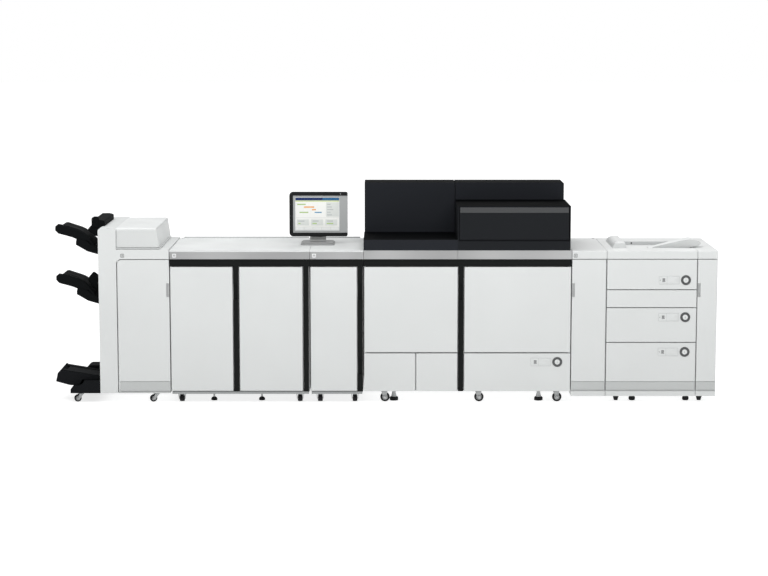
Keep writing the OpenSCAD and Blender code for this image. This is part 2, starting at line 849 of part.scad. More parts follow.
// Stand: a base plate, a tapering neck and the barrel that the screen tilts on
module console_stand() color(grip_grey) {
  neck_w = 110;
  neck_top_w = 84;
  shoulder_z = tilt_z - 44;
  base_z = top_h + 15;
  difference() {
    union() {
      translate([stand_x - 115, front + 297, top_h]) linear_extrude(9) rounded_rect(231, 223, 24);
      translate([stand_x - 106, front + 306, top_h + 8]) linear_extrude(7) rounded_rect(213, 205, 20);
      translate([stand_x, 0, 0]) along_y(tilt_y - 2, tilt_y + 22) {
        polygon([[-neck_w / 2, base_z - 1], [neck_w / 2, base_z - 1], [neck_w / 2, base_z + 60],
          [neck_top_w / 2, shoulder_z], [-neck_top_w / 2, shoulder_z], [-neck_w / 2, base_z + 60]]);
      }
      translate([stand_x - barrel_w / 2, tilt_y - 2, shoulder_z - 2]) {
        cube([barrel_w, 12, tilt_z - shoulder_z + 2]);
      }
      translate([stand_x - barrel_w / 2, tilt_y, tilt_z]) {
        rotate([0, 90, 0]) cylinder(r = tilt_r, h = barrel_w);
      }
    }
    translate([stand_x - barrel_w, tilt_y, tilt_z]) {
      rotate([0, 90, 0]) cylinder(r = tilt_pin_r + pin_fit, h = 2 * barrel_w);
    }
  }
}

// Outline of the screen housing: wide corners on the left, tight ones on the right
module console_outline(inset = 0) {
  left_r = 26 - inset;
  right_r = 12;
  x1 = console_w - inset;
  z1 = console_h - inset;
  translate([inset + left_r, inset]) square([x1 - inset - left_r - right_r, z1 - inset]);
  translate([inset, inset + left_r]) square([left_r + 1, z1 - inset - 2 * left_r]);
  translate([x1 - right_r - 1, inset + right_r]) square([right_r + 1, z1 - inset - 2 * right_r]);
  for (z = [inset + left_r, z1 - left_r]) translate([inset + left_r, z]) circle(left_r);
  for (z = [inset + right_r, z1 - right_r]) translate([x1 - right_r, z]) circle(right_r);
}

// How far the black rim wraps back over the housing
shell_y = 16;

module console_monitor() color(grip_grey) {
  ear_t = 10;
  ear_x = barrel_w / 2 + 1;
  difference() {
    union() {
      translate([console_x, console_y, console_z]) {
        along_y(2, shell_y + 1) {
          translate([bezel, bezel]) square([console_w - bezel, console_h - 2 * bezel]);
        }
        along_y(shell_y, console_t - 4) console_outline();
        along_y(console_t - 5, console_t) console_outline(5);
      }
      for (x = [stand_x - ear_x - ear_t, stand_x + ear_x]) {
        translate([x, tilt_y, tilt_z]) rotate([0, 90, 0]) cylinder(r = tilt_r, h = ear_t);
        translate([x, console_y + console_t - 1, tilt_z - tilt_r]) cube([ear_t, 21, 2 * tilt_r]);
      }
      translate([stand_x - ear_x - 5, tilt_y, tilt_z]) {
        rotate([0, 90, 0]) cylinder(r = tilt_pin_r, h = 2 * ear_x + 10);
      }
    }
    translate([console_x + screen_x - 1, console_y, console_z + screen_z - 1]) {
      cube([screen_w + 2, 6, screen_h + 2]);
    }
    // Cooling slots across the back
    for (k = [0 : 6]) {
      translate([console_x + 120, console_y + console_t - 2, console_z + 226 + k * 9]) {
        cube([console_w - 240, 3, 4]);
      }
    }
  }
}

// Black rim that wraps the housing's top, left side and bottom
module console_bezel() color(black) {
  translate([console_x, console_y, console_z]) {
    along_y(-1, shell_y) difference() {
      console_outline();
      translate([bezel, bezel]) square([console_w, console_h - 2 * bezel]);
    }
  }
}

module console_screen() color([0.75, 0.8, 0.85]) {
  translate([console_x + screen_x, console_y + 3, console_z + screen_z]) cube([screen_w, 3, screen_h]);
}

module deck_cabinet() color(white) {
  z_bottom = skirt_top;
  difference() {
    cabinet_body(deck_x, deck_w, z_bottom, deck_band_z);
    translate([deck_x, 0, 0]) {
      bay(20, drawer_x - 26, 130, 950);
      bay(deck_right_x + 16, deck_w - 20, 130, 950);
    }
    for (f = drawer_fronts) drawer_cavity(deck_x + drawer_x, drawer_w, f[0], f[1]);
    // Joints between the drawer frame and the two side compartments
    for (x = [drawer_x - half_seam, deck_right_x - half_seam]) {
      translate([deck_x + x - 0.4, cabinet_y - 1, z_bottom - 1]) {
        cube([0.8, cabinet_rear - cabinet_y + 2, deck_band_z - z_bottom + 2]);
      }
    }
  }
  for (f = drawer_fronts) drawer_runners(deck_x + drawer_x, drawer_w, f[0], f[1]);
}

module deck_fixed_front() color(white) {
  translate([deck_x + drawer_x, front, fixed_front[0]]) {
    linear_extrude(fixed_front[1] - fixed_front[0]) rounded_rect(drawer_w, cabinet_y - front, edge_r);
  }
}

module deck_skirt() color(white) {
  difference() {
    translate([deck_x + half_seam, front, skirt_bottom]) {
      cube([deck_w - seam, cabinet_rear - front, skirt_top - skirt_bottom]);
    }
    z0 = skirt_top - 8;
    z1 = skirt_top + 1;
    pivot_bore(deck_x + half_seam + deck_left_w, z0, z1, true);
    pivot_bore(deck_x + deck_w - half_seam, z0, z1, true);
    // The joints of the front, carried down to the floor side
    for (x = [drawer_x - half_seam, deck_right_x - half_seam]) {
      translate([deck_x + x - 2.5, front - 1, skirt_bottom + 3]) cube([5, 9, skirt_top - skirt_bottom]);
    }
  }
}

// Bypass well in the paper deck's top
well = [[393, front + 174], [833, front + 582]];
well_d = 26;

module deck_worktop() color(top_white) {
  slab_h = deck_top_h - deck_band_z;
  depth = cabinet_rear - front;
  lip_r = 5;
  difference() {
    translate([deck_x, 0, 0]) along_x(half_seam, deck_w - half_seam) {
      translate([front, deck_band_z]) square([depth, slab_h - lip_r]);
      translate([front + lip_r, deck_band_z]) square([depth - lip_r, slab_h]);
      translate([front + lip_r, deck_top_h - lip_r]) circle(lip_r);
    }
    z0 = deck_band_z - 1;
    z1 = deck_band_z + 8;
    pivot_bore(deck_x + half_seam + deck_left_w, z0, z1, true);
    pivot_bore(deck_x + deck_w - half_seam, z0, z1, true);
    translate([deck_x + well[0][0], well[0][1], deck_top_h - well_d]) {
      linear_extrude(well_d + 1) rounded_rect(well[1][0] - well[0][0], well[1][1] - well[0][1], 12);
    }
    // Joints between the three top panels, carried down the front edge
    for (x = [drawer_x - half_seam, deck_right_x - half_seam]) {
      translate([deck_x + x - 1.5, front - 1, deck_top_h - 3]) cube([3, depth + 2, 4]);
      translate([deck_x + x - 2.5, front - 1, deck_band_z - 1]) cube([5, 9, slab_h + 2]);
    }
    // Sensor hole in the well's rear wall
    translate([deck_x + 467, well[1][1] - 1, deck_top_h - 12]) rotate([-90, 0, 0]) cylinder(r = 4, h = 12);
  }
}

// Feeder head: a hump over the sheet separator, round on its left side
module feeder_head() color(top_white) {
  foot_w = 95;
  foot_d = 440;
  crown = 40;
  left_r = 46;
  translate([deck_x + 290, well[0][1], deck_top_h]) {
    intersection() {
      along_y(0, foot_d) {
        translate([left_r, crown - left_r]) circle(left_r);
        polygon([[30, 0], [30, 30], [left_r, crown], [78, crown], [84, crown - 3], [88, crown - 9],
          [foot_w, 0]]);
      }
      along_x(-1, foot_w + 1) {
        polygon([[0, 0.2], [foot_d, 0.2], [foot_d, 8], [foot_d - 30, crown - 8], [foot_d - 38, crown],
          [26, crown], [12, crown - 3], [6, crown - 9]]);
      }
    }
  }
}

// Bypass tray: a sloping plate beside a tall near wall, standing in the well
module bypass_tray() color(top_white) {
  y0 = front + 198;
  y1 = front + 432;
  wall_t = 12;
  floor_z = deck_top_h - well_d + 0.5;
  lip_z = deck_top_h + 2;
  translate([deck_x, 0, 0]) {
    // Near wall, rising to the hinge with a round end
    along_y(y0, y0 + wall_t) {
      polygon([[556, floor_z], [562, 1031], [570, 1041], [670, 1065], [761, 1086], [796, 1091.5],
        [822, 1092], [853, 1090], [878, 1083], [890, 1074], [893, 1066], [888, 1058], [872, 1050],
        [850, 1044], [828, lip_z], [818, lip_z], [806, floor_z]]);
    }
    // The plate that the sheets lie on
    along_y(y0 + wall_t - 1, y1) {
      polygon([[558, floor_z], [560, floor_z + 4], [640, 1036], [800, 1077], [836, 1083], [858, 1081],
        [868, 1073], [862, 1065], [836, 1071], [800, 1067], [650, 1027], [600, floor_z]]);
    }
    // Far rib, down to the well's floor
    along_y(y1 - 26, y1 - 18) {
      polygon([[700, 1044], [706, floor_z], [806, floor_z], [818, lip_z], [840, lip_z + 4], [850, 1072],
        [800, 1070]]);
    }
    // Hinge block behind the plate
    translate([848, y0 + 22, deck_top_h + 0.2]) linear_extrude(4) rounded_rect(64, y1 - y0 - 10, 10);
    translate([850, y0 + wall_t - 1, deck_top_h + 1]) cube([12, y1 - y0 - 40, 38]);
  }
}

// Places of the casters and levelling feet: X along the line
finisher_casters = [-139, 376];
fuser_casters = [70, 873];
bridge_casters = [66, 302];
engine_casters = [138, 777, 1307];
engine_feet = [205, 1192];
fuser_feet = [284, 610];
deck_feet = [320, 887];
deck_pads = [430, 796];

// Fork of a swivel caster: top plate, swivel, raked legs and the axle, under z1
module fork(r, z1, trail) {
  leg_t = 3;
  half_w = r * 0.45 + 1;
  plate_w = r * 1.8;
  plate_d = r * 1.5;
  translate([-plate_w / 2, -plate_d / 2, z1 - 5]) cube([plate_w, plate_d, 5]);
  translate([0, 0, 2 * r + 2]) cylinder(r = r * 0.5, h = z1 - 2 * r - 3);
  for (y = [-half_w - leg_t, half_w]) {
    along_y(y, y + leg_t) {
      polygon([[-r * 0.6, 2 * r + 4.5], [r * 0.7, 2 * r + 4.5], [trail + 8, r - 6],
        [trail - 8, r - 6]]);
    }
  }
  translate([-r * 0.6, -half_w - leg_t, 2 * r + 1]) cube([r * 1.3, 2 * (half_w + leg_t), 3.5]);
  translate([trail, -half_w - leg_t - 2, r]) rotate([-90, 0, 0]) {
    cylinder(r = 4, h = 2 * (half_w + leg_t) + 4);
  }
}

// Tyre with a crowned tread, about the axle
module tyre(r, trail) {
  half_w = r * 0.42;
  translate([trail, 0, r]) rotate([-90, 0, 0]) rotate_extrude() {
    polygon([[r * 0.62, -half_w], [r * 0.9, -half_w], [r - 1, -half_w * 0.72], [r, -half_w * 0.3],
      [r, half_w * 0.3], [r - 1, half_w * 0.72], [r * 0.9, half_w], [r * 0.62, half_w]]);
  }
}

// Dished hub inside the tyre, bored for the axle
module hub(r, trail) {
  half_w = r * 0.42;
  rim = r * 0.62 - 0.2;
  translate([trail, 0, r]) rotate([-90, 0, 0]) rotate_extrude() {
    polygon([[4.3, -half_w - 0.6], [9, -half_w - 0.6], [10, -half_w * 0.5], [rim - 3, -half_w * 0.5],
      [rim, -half_w], [rim, half_w], [rim - 3, half_w * 0.5], [10, half_w * 0.5],
      [9, half_w + 0.6], [4.3, half_w + 0.6]]);
  }
}

// Every caster as its X, wheel radius, plate height, the way it points and its trail
caster_rows = [front + 60, rear - 80];
casters = concat(
  [for (x = finisher_casters) [finisher_x + x, 25, finisher_bottom, 205, 24]],
  [for (x = fuser_casters) [fuser_x + x, 25, rail_bottom, 90, 6]],
  [for (x = bridge_casters) [bridge_x + x, 25, rail_bottom, 90, 6]],
  [for (x = engine_casters) [engine_x + x, 32, engine_bottom, 0, 6]]);

module caster_forks() color(rail_grey) {
  for (y = caster_rows, c = casters) translate([c[0], y, 0]) rotate([0, 0, c[3]]) fork(c[1], c[2], c[4]);
}

module caster_wheels() color(black) {
  for (y = caster_rows, c = casters) translate([c[0], y, 0]) rotate([0, 0, c[3]]) tyre(c[1], c[4]);
}

module caster_hubs() color(grip_grey) {
  for (y = caster_rows, c = casters) translate([c[0], y, 0]) rotate([0, 0, c[3]]) hub(c[1], c[4]);
}

// One levelling foot: rubber pad, domed cap, stem and the plate it screws into
module foot(x, y, r, z1) {
  translate([x, y, 0]) rotate_extrude() {
    polygon([[0, 0], [r - 1, 0], [r, 2], [r, 8], [r - 4, 12], [r * 0.5, 17], [6, 19], [5, 22],
      [5, z1 - 12], [r * 0.7, z1 - 3], [r * 0.7, z1], [0, z1]]);
  }
}

// A tapered foot, wide at the skirt and narrow at the floor
module tapered_foot(x, y, r, z1) {
  translate([x, y, 0]) rotate_extrude() {
    polygon([[0, 0], [r * 0.55, 0], [r * 0.6, 3], [r * 0.6, 9], [r * 0.72, 11], [r, 26], [r, z1 - 8],
      [r * 0.8, z1 - 5], [r * 0.8, z1], [0, z1]]);
  }
}

// A low round pad with a full edge
module pad_foot(x, y, r, z1) {
  translate([x, y, 0]) rotate_extrude() {
    polygon([[0, 0], [r * 0.78, 0], [r * 0.95, 4], [r, 11], [r, 17], [r * 0.93, 23], [r * 0.6, 27],
      [r * 0.5, z1], [0, z1]]);
  }
}

module levelling_feet() color(black) {
  for (y = [front + 110, rear - 130]) {
    for (x = fuser_feet) foot(fuser_x + x, y, 20, rail_bottom);
    for (x = engine_feet) foot(engine_x + x, y, 29, engine_bottom);
    for (x = deck_feet) tapered_foot(deck_x + x, y, 20, skirt_bottom);
    for (x = deck_pads) pad_foot(deck_x + x, y, 22.5, skirt_bottom);
  }
}

// Rear cover of one station: a flanged panel with one or two fields of louvres
module rear_cover(x, w, z0, z1) {
  slots = 9;
  pitch = 20;
  field_w = min(300, w - 120);
  fields = w > 800 ? [w * 0.27, w * 0.73] : [w / 2];
  difference() {
    translate([x + half_seam, cabinet_rear, z0]) {
      cube([w - seam, rear_cover_t / 2, z1 - z0]);
      translate([9, 1, 9]) cube([w - seam - 18, rear_cover_t - 1, z1 - z0 - 18]);
    }
    for (c = fields, k = [0 : slots - 1]) {
      translate([x + c - field_w / 2, rear - 3, z1 - 110 - k * pitch]) cube([field_w, 10, 8]);
    }
  }
}

module rear_covers() color(white) {
  rear_cover(finisher_x, finisher_w, finisher_bottom + 4, shelf_z - 4);
  rear_cover(fuser_x, fuser_w, rail_top, top_h - worktop_t - 2);
  rear_cover(bridge_x, bridge_w, rail_top, top_h - worktop_t - 2);
  rear_cover(engine_x, engine_w, engine_bottom, top_h - 4);
  rear_cover(deck_x, deck_w, skirt_top, deck_band_z - 2);
}

finisher_door_x0 = finisher_x + column_w + seam;
finisher_door_x1 = finisher_x + finisher_w - half_seam;
finisher_kick_inset = corner_pivot + pin_r + 1;

// Plan of the finisher's door, about its pivot near the front corner
module corner_hung_plan(w) {
  reach = w - corner_pivot;
  rest = door_t - corner_pivot;
  circle(corner_pivot);
  translate([-corner_pivot, 0]) square([w - edge_r, rest]);
  translate([0, -corner_pivot]) square([reach - edge_r, corner_pivot + 1]);
  translate([0, edge_r - corner_pivot]) square([reach, door_t - 2 * edge_r]);
  for (y = [edge_r - corner_pivot, rest - edge_r]) translate([reach - edge_r, y]) circle(edge_r);
}

module finisher_door() color(white) {
  r = finisher_corner_r;
  difference() {
    translate([finisher_door_x0 + corner_pivot, front + corner_pivot, finisher_door_bottom]) {
      linear_extrude(finisher_door_top - finisher_door_bottom) {
        corner_hung_plan(finisher_door_x1 - finisher_door_x0);
      }
    }
    grip_pocket(finisher_door_x1 - 18);
    kick_rebate(finisher_door_x0 + finisher_kick_inset, finisher_door_x1 + 1, finisher_door_bottom);
    // Rounded upper corner over the hinge
    along_y(front - 1, front + door_t + 1) difference() {
      translate([finisher_door_x0 - 1, finisher_door_top - r]) square([r + 1, r + 1]);
      translate([finisher_door_x0 + r, finisher_door_top - r]) circle(r);
    }
  }
  translate([finisher_door_x0 + corner_pivot, front + corner_pivot, 0]) {
    translate([0, 0, finisher_door_bottom - pin_len]) cylinder(r = pin_r, h = 4 * pin_len);
    translate([0, 0, finisher_door_top - r]) cylinder(r = pin_r, h = r + pin_len);
  }
}

// Height of the latch grips
grip_z0 = 724;
grip_z1 = 818;

// Pocket for a latch grip in a door's edge
module grip_pocket(x) {
  translate([x - 1, front - 1, grip_z0]) cube([20, 9, grip_z1 - grip_z0]);
}

// Latch grip with its finger hollow
module latch_grip(x) {
  translate([x, front + 0.5, grip_z0 + 0.5]) {
    difference() {
      cube([16, 7.5, grip_z1 - grip_z0 - 1]);
      translate([4, -1, 10]) cube([14, 5, grip_z1 - grip_z0 - 21]);
    }
  }
}

module finisher_door_trim() color(kick_grey) {
  latch_grip(finisher_door_x1 - 17);
  kick_strip(finisher_door_x0 + finisher_kick_inset + 0.5, finisher_door_x1 - 0.5, finisher_door_bottom + 1);
}

module fuser_door_left() color(white) {
  hinged_door(fuser_x + half_seam, fuser_post - half_seam, door_bottom, door_top);
}

module fuser_door_right() color(white) {
  hinged_door(fuser_x + fuser_end_post, fuser_end_post - fuser_post - post_w, door_bottom,
    door_top, true);
}

module bridge_door() color(white) {
  hinged_door(bridge_x + half_seam, bridge_post - half_seam, door_bottom, door_top);
}

module engine_door_left() color(white) {
  hinged_door(engine_x + half_seam, engine_post - half_seam, engine_door_bottom, door_top,
    false, leaf_pin);
}

module engine_door_right() color(white) {
  hinged_door(engine_x + engine_w - half_seam, engine_w - half_seam - engine_post - post_w,
    engine_door_bottom, door_top, true, leaf_pin);
}

deck_left_x1 = deck_x + half_seam + deck_left_w;
deck_end = deck_x + deck_w - half_seam;

module deck_door_left() color(white) {
  difference() {
    hinged_door(deck_left_x1, deck_left_w, deck_door_bottom, deck_door_top, true);
    grip_pocket(deck_x + half_seam);
    kick_rebate(deck_x + half_seam - 1, deck_left_x1 - kick_inset, deck_door_bottom);
  }
}

module deck_door_left_trim() color(kick_grey) {
  latch_grip(deck_x + half_seam + 1);
  kick_strip(deck_x + half_seam + 0.5, deck_left_x1 - kick_inset - 0.5, deck_door_bottom + 1);
}

module deck_door_right() color(white) {
  difference() {
    hinged_door(deck_end, deck_right_w, deck_door_bottom, deck_door_top, true);
    grip_pocket(deck_x + deck_right_x);
    kick_rebate(deck_x + deck_right_x - 1, deck_end - kick_inset, deck_door_bottom);
  }
}

module deck_door_right_trim() color(kick_grey) {
  latch_grip(deck_x + deck_right_x + 1);
  kick_strip(deck_x + deck_right_x + 0.5, deck_end - kick_inset - 0.5, deck_door_bottom + 1);
}

module deck_drawer(k) {
  f = drawer_fronts[k];
  difference() {
    drawer(deck_x + drawer_x, drawer_w, f[0], f[1], f[0]);
    ring_seat(deck_x + ring_x, ring_z[k]);
  }
}

module deck_drawer_1() color(white) deck_drawer(0);
module deck_drawer_2() color(white) deck_drawer(1);
module deck_drawer_3() color(white) {
  difference() {
    deck_drawer(2);
    kick_rebate(deck_x + drawer_x - 1, deck_x + drawer_x + drawer_w + 1, deck_door_bottom);
  }
}

module deck_drawer_kick() color(kick_grey) {
  kick_strip(deck_x + drawer_x + 0.5, deck_x + drawer_x + drawer_w - 0.5, deck_door_bottom + 1);
}

module deck_drawer_ring_1() color(ring_grey) ring_handle(deck_x + ring_x, ring_z[0]);
module deck_drawer_ring_2() color(ring_grey) ring_handle(deck_x + ring_x, ring_z[1]);
module deck_drawer_ring_3() color(ring_grey) ring_handle(deck_x + ring_x, ring_z[2]);

finisher_cabinet();
finisher_top_cover();
exit_hoods();
tray_rails();
booklet_tray();
booklet_housing();
fuser_cabinet();
bridge_cabinet();
engine_cabinet();
engine_lower_covers();
inner_covers();
header_band();
silver_trim();
front_posts();
base_rails();
worktops();
tower();
tower_base();
toner_housing();
toner_containers();
console_stand();
deck_cabinet();
deck_worktop();
feeder_head();
bypass_tray();
deck_skirt();
deck_fixed_front();
caster_forks();
caster_wheels();
caster_hubs();
levelling_feet();
rear_covers();
finisher_door();
finisher_door_trim();
upper_tray();
lower_tray();
fuser_door_left();
fuser_door_right();
bridge_door();
engine_door_left();
engine_door_right();
engine_drawer();
engine_drawer_ring();
toner_cover();
toner_cover_strip();
console_monitor();
console_bezel();
console_screen();
deck_door_left();
deck_door_left_trim();
deck_door_right();
deck_door_right_trim();
deck_drawer_1();
deck_drawer_2();
deck_drawer_3();
deck_drawer_ring_1();
deck_drawer_ring_2();
deck_drawer_ring_3();
deck_drawer_kick();
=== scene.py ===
"""Looks for a digital production printing line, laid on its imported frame."""

import json
import math

import bpy
import numpy as np
from bpy.props import FloatProperty, FloatVectorProperty, PointerProperty
from mathutils import Matrix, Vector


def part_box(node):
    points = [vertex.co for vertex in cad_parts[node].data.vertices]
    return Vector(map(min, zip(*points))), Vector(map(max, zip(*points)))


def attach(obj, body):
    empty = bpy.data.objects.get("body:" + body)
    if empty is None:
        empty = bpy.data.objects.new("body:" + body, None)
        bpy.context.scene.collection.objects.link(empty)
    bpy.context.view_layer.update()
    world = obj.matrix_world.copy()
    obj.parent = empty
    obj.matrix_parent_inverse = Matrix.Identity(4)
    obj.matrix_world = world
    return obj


bl_info = {
    "name": "Production Printing Line Looks",
    "version": (1, 0, 0),
    "blender": (4, 5, 0),
    "location": "View3D > Sidebar > Printing Line",
    "description": "Finishes, trim and studio for a digital production printing line",
    "category": "Object",
}

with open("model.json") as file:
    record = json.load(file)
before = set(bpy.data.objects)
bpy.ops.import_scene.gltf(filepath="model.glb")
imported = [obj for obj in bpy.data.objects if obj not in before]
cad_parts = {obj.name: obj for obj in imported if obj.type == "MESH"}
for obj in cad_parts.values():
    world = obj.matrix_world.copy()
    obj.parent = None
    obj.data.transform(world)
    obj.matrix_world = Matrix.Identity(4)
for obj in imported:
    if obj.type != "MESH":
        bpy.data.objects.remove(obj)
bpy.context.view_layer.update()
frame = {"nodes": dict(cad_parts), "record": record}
NODES = frame["nodes"]
FINISH = {}


# ---------------------------------------------------------------- sizes from the frame


def low(node):
    """Lowest corner of a CAD node, as an array of metres."""
    return np.array(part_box(node)[0])


def high(node):
    """Highest corner of a CAD node, as an array of metres."""
    return np.array(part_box(node)[1])


def islands(node):
    """Corner places of each separate solid in a node: the corners of a triangle
    share their lowest number, again and again, until no number changes."""
    mesh = NODES[node].data
    places = np.empty(len(mesh.vertices) * 3)
    mesh.vertices.foreach_get("co", places)
    places = places.reshape(-1, 3)
    corners = np.empty(len(mesh.loops), int)
    mesh.loops.foreach_get("vertex_index", corners)
    _, same = np.unique(np.round(places, 5), axis=0, return_inverse=True)
    same = same.ravel()
    triangles = same[corners].reshape(-1, 3)
    label = np.arange(same.max() + 1)
    settled = False
    while not settled:
        lowest = label[triangles].min(1)
        shared = label.copy()
        np.minimum.at(shared, triangles, lowest[:, None])
        settled = np.array_equal(shared, label)
        label = shared
    return [places[label[same] == k] for k in np.unique(label[same])]


def span(places):
    """Lowest and highest corner of a set of places."""
    return places.min(0), places.max(0)


FRONT = low("engine_lower_covers")[1]
TOP = high("silver_trim")[2]
MARK = 0.0004  # thickness of a printed mark, in metres


# ---------------------------------------------------------------- surfaces


def round_outline(width, height, radius, steps=6):
    """Outline of a rectangle with round corners, and its outward directions.

    Each corner is a quarter circle: centre plus radius times (cos t, sin t)."""
    turn = np.linspace(0, math.pi / 2, steps + 1)
    angle = np.concatenate([turn + k * math.pi / 2 for k in range(4)])
    sx = np.repeat([1, -1, -1, 1], steps + 1)
    sy = np.repeat([1, 1, -1, -1], steps + 1)
    way = np.stack([np.cos(angle), np.sin(angle)], 1)
    middle = np.stack([sx * (width / 2 - radius), sy * (height / 2 - radius)], 1)
    return middle + radius * way, way


def circle_outline(radius, steps=32):
    """Outline of a circle, radius times (cos t, sin t), and its outward directions."""
    t = np.arange(steps) * 2 * math.pi / steps
    way = np.stack([np.cos(t), np.sin(t)], 1)
    return radius * way, way


# Where a piece's width, height and thickness point, by the side of the line it faces
AXES = {
    "front": np.array([[1, 0, 0], [0, 0, 1], [0, -1, 0]], float),
    "rear": np.array([[-1, 0, 0], [0, 0, 1], [0, 1, 0]], float),
    "top": np.array([[1, 0, 0], [0, 1, 0], [0, 0, 1]], float),
    "left": np.array([[0, -1, 0], [0, 0, 1], [-1, 0, 0]], float),
    "right": np.array([[0, 1, 0], [0, 0, 1], [1, 0, 0]], float),
}


class Shell:
    """Gathers closed surfaces into one mesh, each with a tint of its own."""

    def __init__(self):
        self.points, self.faces, self.tints = [], [], []
        self.count = 0

    def add(self, points, faces, tint=(1, 1, 1)):
        """Adds points (n by 3) and faces that count from this block's first point."""
        self.points.append(points)
        for block in faces:
            self.faces += (block + self.count).tolist()
            self.tints += [tint] * len(block)
        self.count += len(points)

    def stack(self, outline, levels, at, side="front", tint=(1, 1, 1)):
        """A closed slab: the outline, drawn in by each level's inset along its
        outward directions, at each level's height, with a point at both ends."""
        edge, way = outline
        n, m = len(edge), len(levels)
        inset, height = np.array(levels, float).T
        flat = edge[None] - inset[:, None, None] * way[None]
        rings = np.concatenate([flat, np.broadcast_to(height[:, None, None], (m, n, 1))], 2)
        ends = np.array([[0, 0, height[0]], [0, 0, height[-1]]], float)
        local = np.concatenate([rings.reshape(-1, 3), ends])
        j = np.arange(n)
        k = (j + 1) % n
        base = (np.arange(m - 1) * n)[:, None]
        quads = np.stack([base + j, base + k, base + n + k, base + n + j], 2).reshape(-1, 4)
        under = np.stack([k, j, np.full(n, m * n)], 1)
        over = np.stack([(m - 1) * n + j, (m - 1) * n + k, np.full(n, m * n + 1)], 1)
        self.add(local @ AXES[side] + np.asarray(at, float), [quads, under, over], tint)

    def slab(self, width, height, radius, thick, at, side="front", soft=0.0003, tint=(1, 1, 1), steps=4):
        """A thin slab with round corners and an upper rim softened in two steps."""
        rim = [(0, 0), (0, thick - soft), (soft * 0.3, thick - soft * 0.3), (soft, thick)]
        self.stack(round_outline(width, height, radius, steps), rim, at, side, tint)

    def taper(self, lower, upper):
        """A closed block between a lower and an upper rectangle, each given as
        (x0, x1, y0, y1, z): the eight corners, joined side by side."""
        around = ((0, 2), (1, 2), (1, 3), (0, 3))
        corners = [(box[i], box[j], box[4]) for box in (lower, upper) for i, j in around]
        quads = np.array([[3, 2, 1, 0], [4, 5, 6, 7], [0, 1, 5, 4], [1, 2, 6, 5], [2, 3, 7, 6], [3, 0, 4, 7]])
        self.add(np.array(corners, float), [quads])

    def band(self, outline, width, thick, at, tint):
        """A flat ring that faces the front: the outline, and the outline drawn in by
        the width, each at height 0 and at the thickness, joined all round."""
        edge, way = outline
        n = len(edge)
        flat = np.concatenate([edge, edge, edge - width * way, edge - width * way])
        local = np.column_stack([flat, np.repeat([0.0, thick, thick, 0.0], n)])
        j = np.arange(n)
        k = (j + 1) % n
        base = (np.arange(4) * n)[:, None]
        over = np.roll(base, -1, axis=0)
        quads = np.stack([base + j, base + k, over + k, over + j], 2).reshape(-1, 4)
        self.add(local @ AXES["front"] + np.asarray(at, float), [quads], tint)

    def turned(self, profile, at, side="front", tint=(1, 1, 1), steps=32):
        """A turned piece: each profile pair (radius, height) carried round the axis,
        point = (radius cos t, radius sin t, height)."""
        self.stack(circle_outline(1.0, steps), [(1.0 - r, h) for r, h in profile], at, side, tint)

    def finish(self, name, body, slot, material):
        """Makes the mesh, gives it its finish and lets it ride on a body. Edges that
        turn by more than the bend stay sharp."""
        bend = math.radians(35)
        mesh = bpy.data.meshes.new(name)
        mesh.from_pydata(np.concatenate(self.points).tolist(), [], self.faces)
        tint = mesh.attributes.new("tint", "FLOAT_COLOR", "CORNER")
        sizes = [len(f) for f in self.faces]
        colour = np.repeat(np.array([(*t, 1.0) for t in self.tints], np.float32), sizes, axis=0)
        tint.data.foreach_set("color", colour.ravel())
        mesh.polygons.foreach_set("use_smooth", [True] * len(mesh.polygons))
        mesh.set_sharp_from_angle(angle=bend)
        mesh.materials.append(material)
        piece = bpy.data.objects.new(name, mesh)
        bpy.context.scene.collection.objects.link(piece)
        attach(piece, body)


# ---------------------------------------------------------------- materials

FACTOR, FIRST, SECOND, RESULT = 0, 6, 7, 2  # sockets of a Mix node that mixes colours


def fill_ramp(ramp, stops):
    """Gives a colour ramp its stops, a position and a colour each, in place of its own two."""
    elements = ramp.color_ramp.elements
    for position, colour in stops:
        stop = elements.new(position)
        stop.color = (*colour, 1)
    elements.remove(elements[0])
    elements.remove(elements[-1])


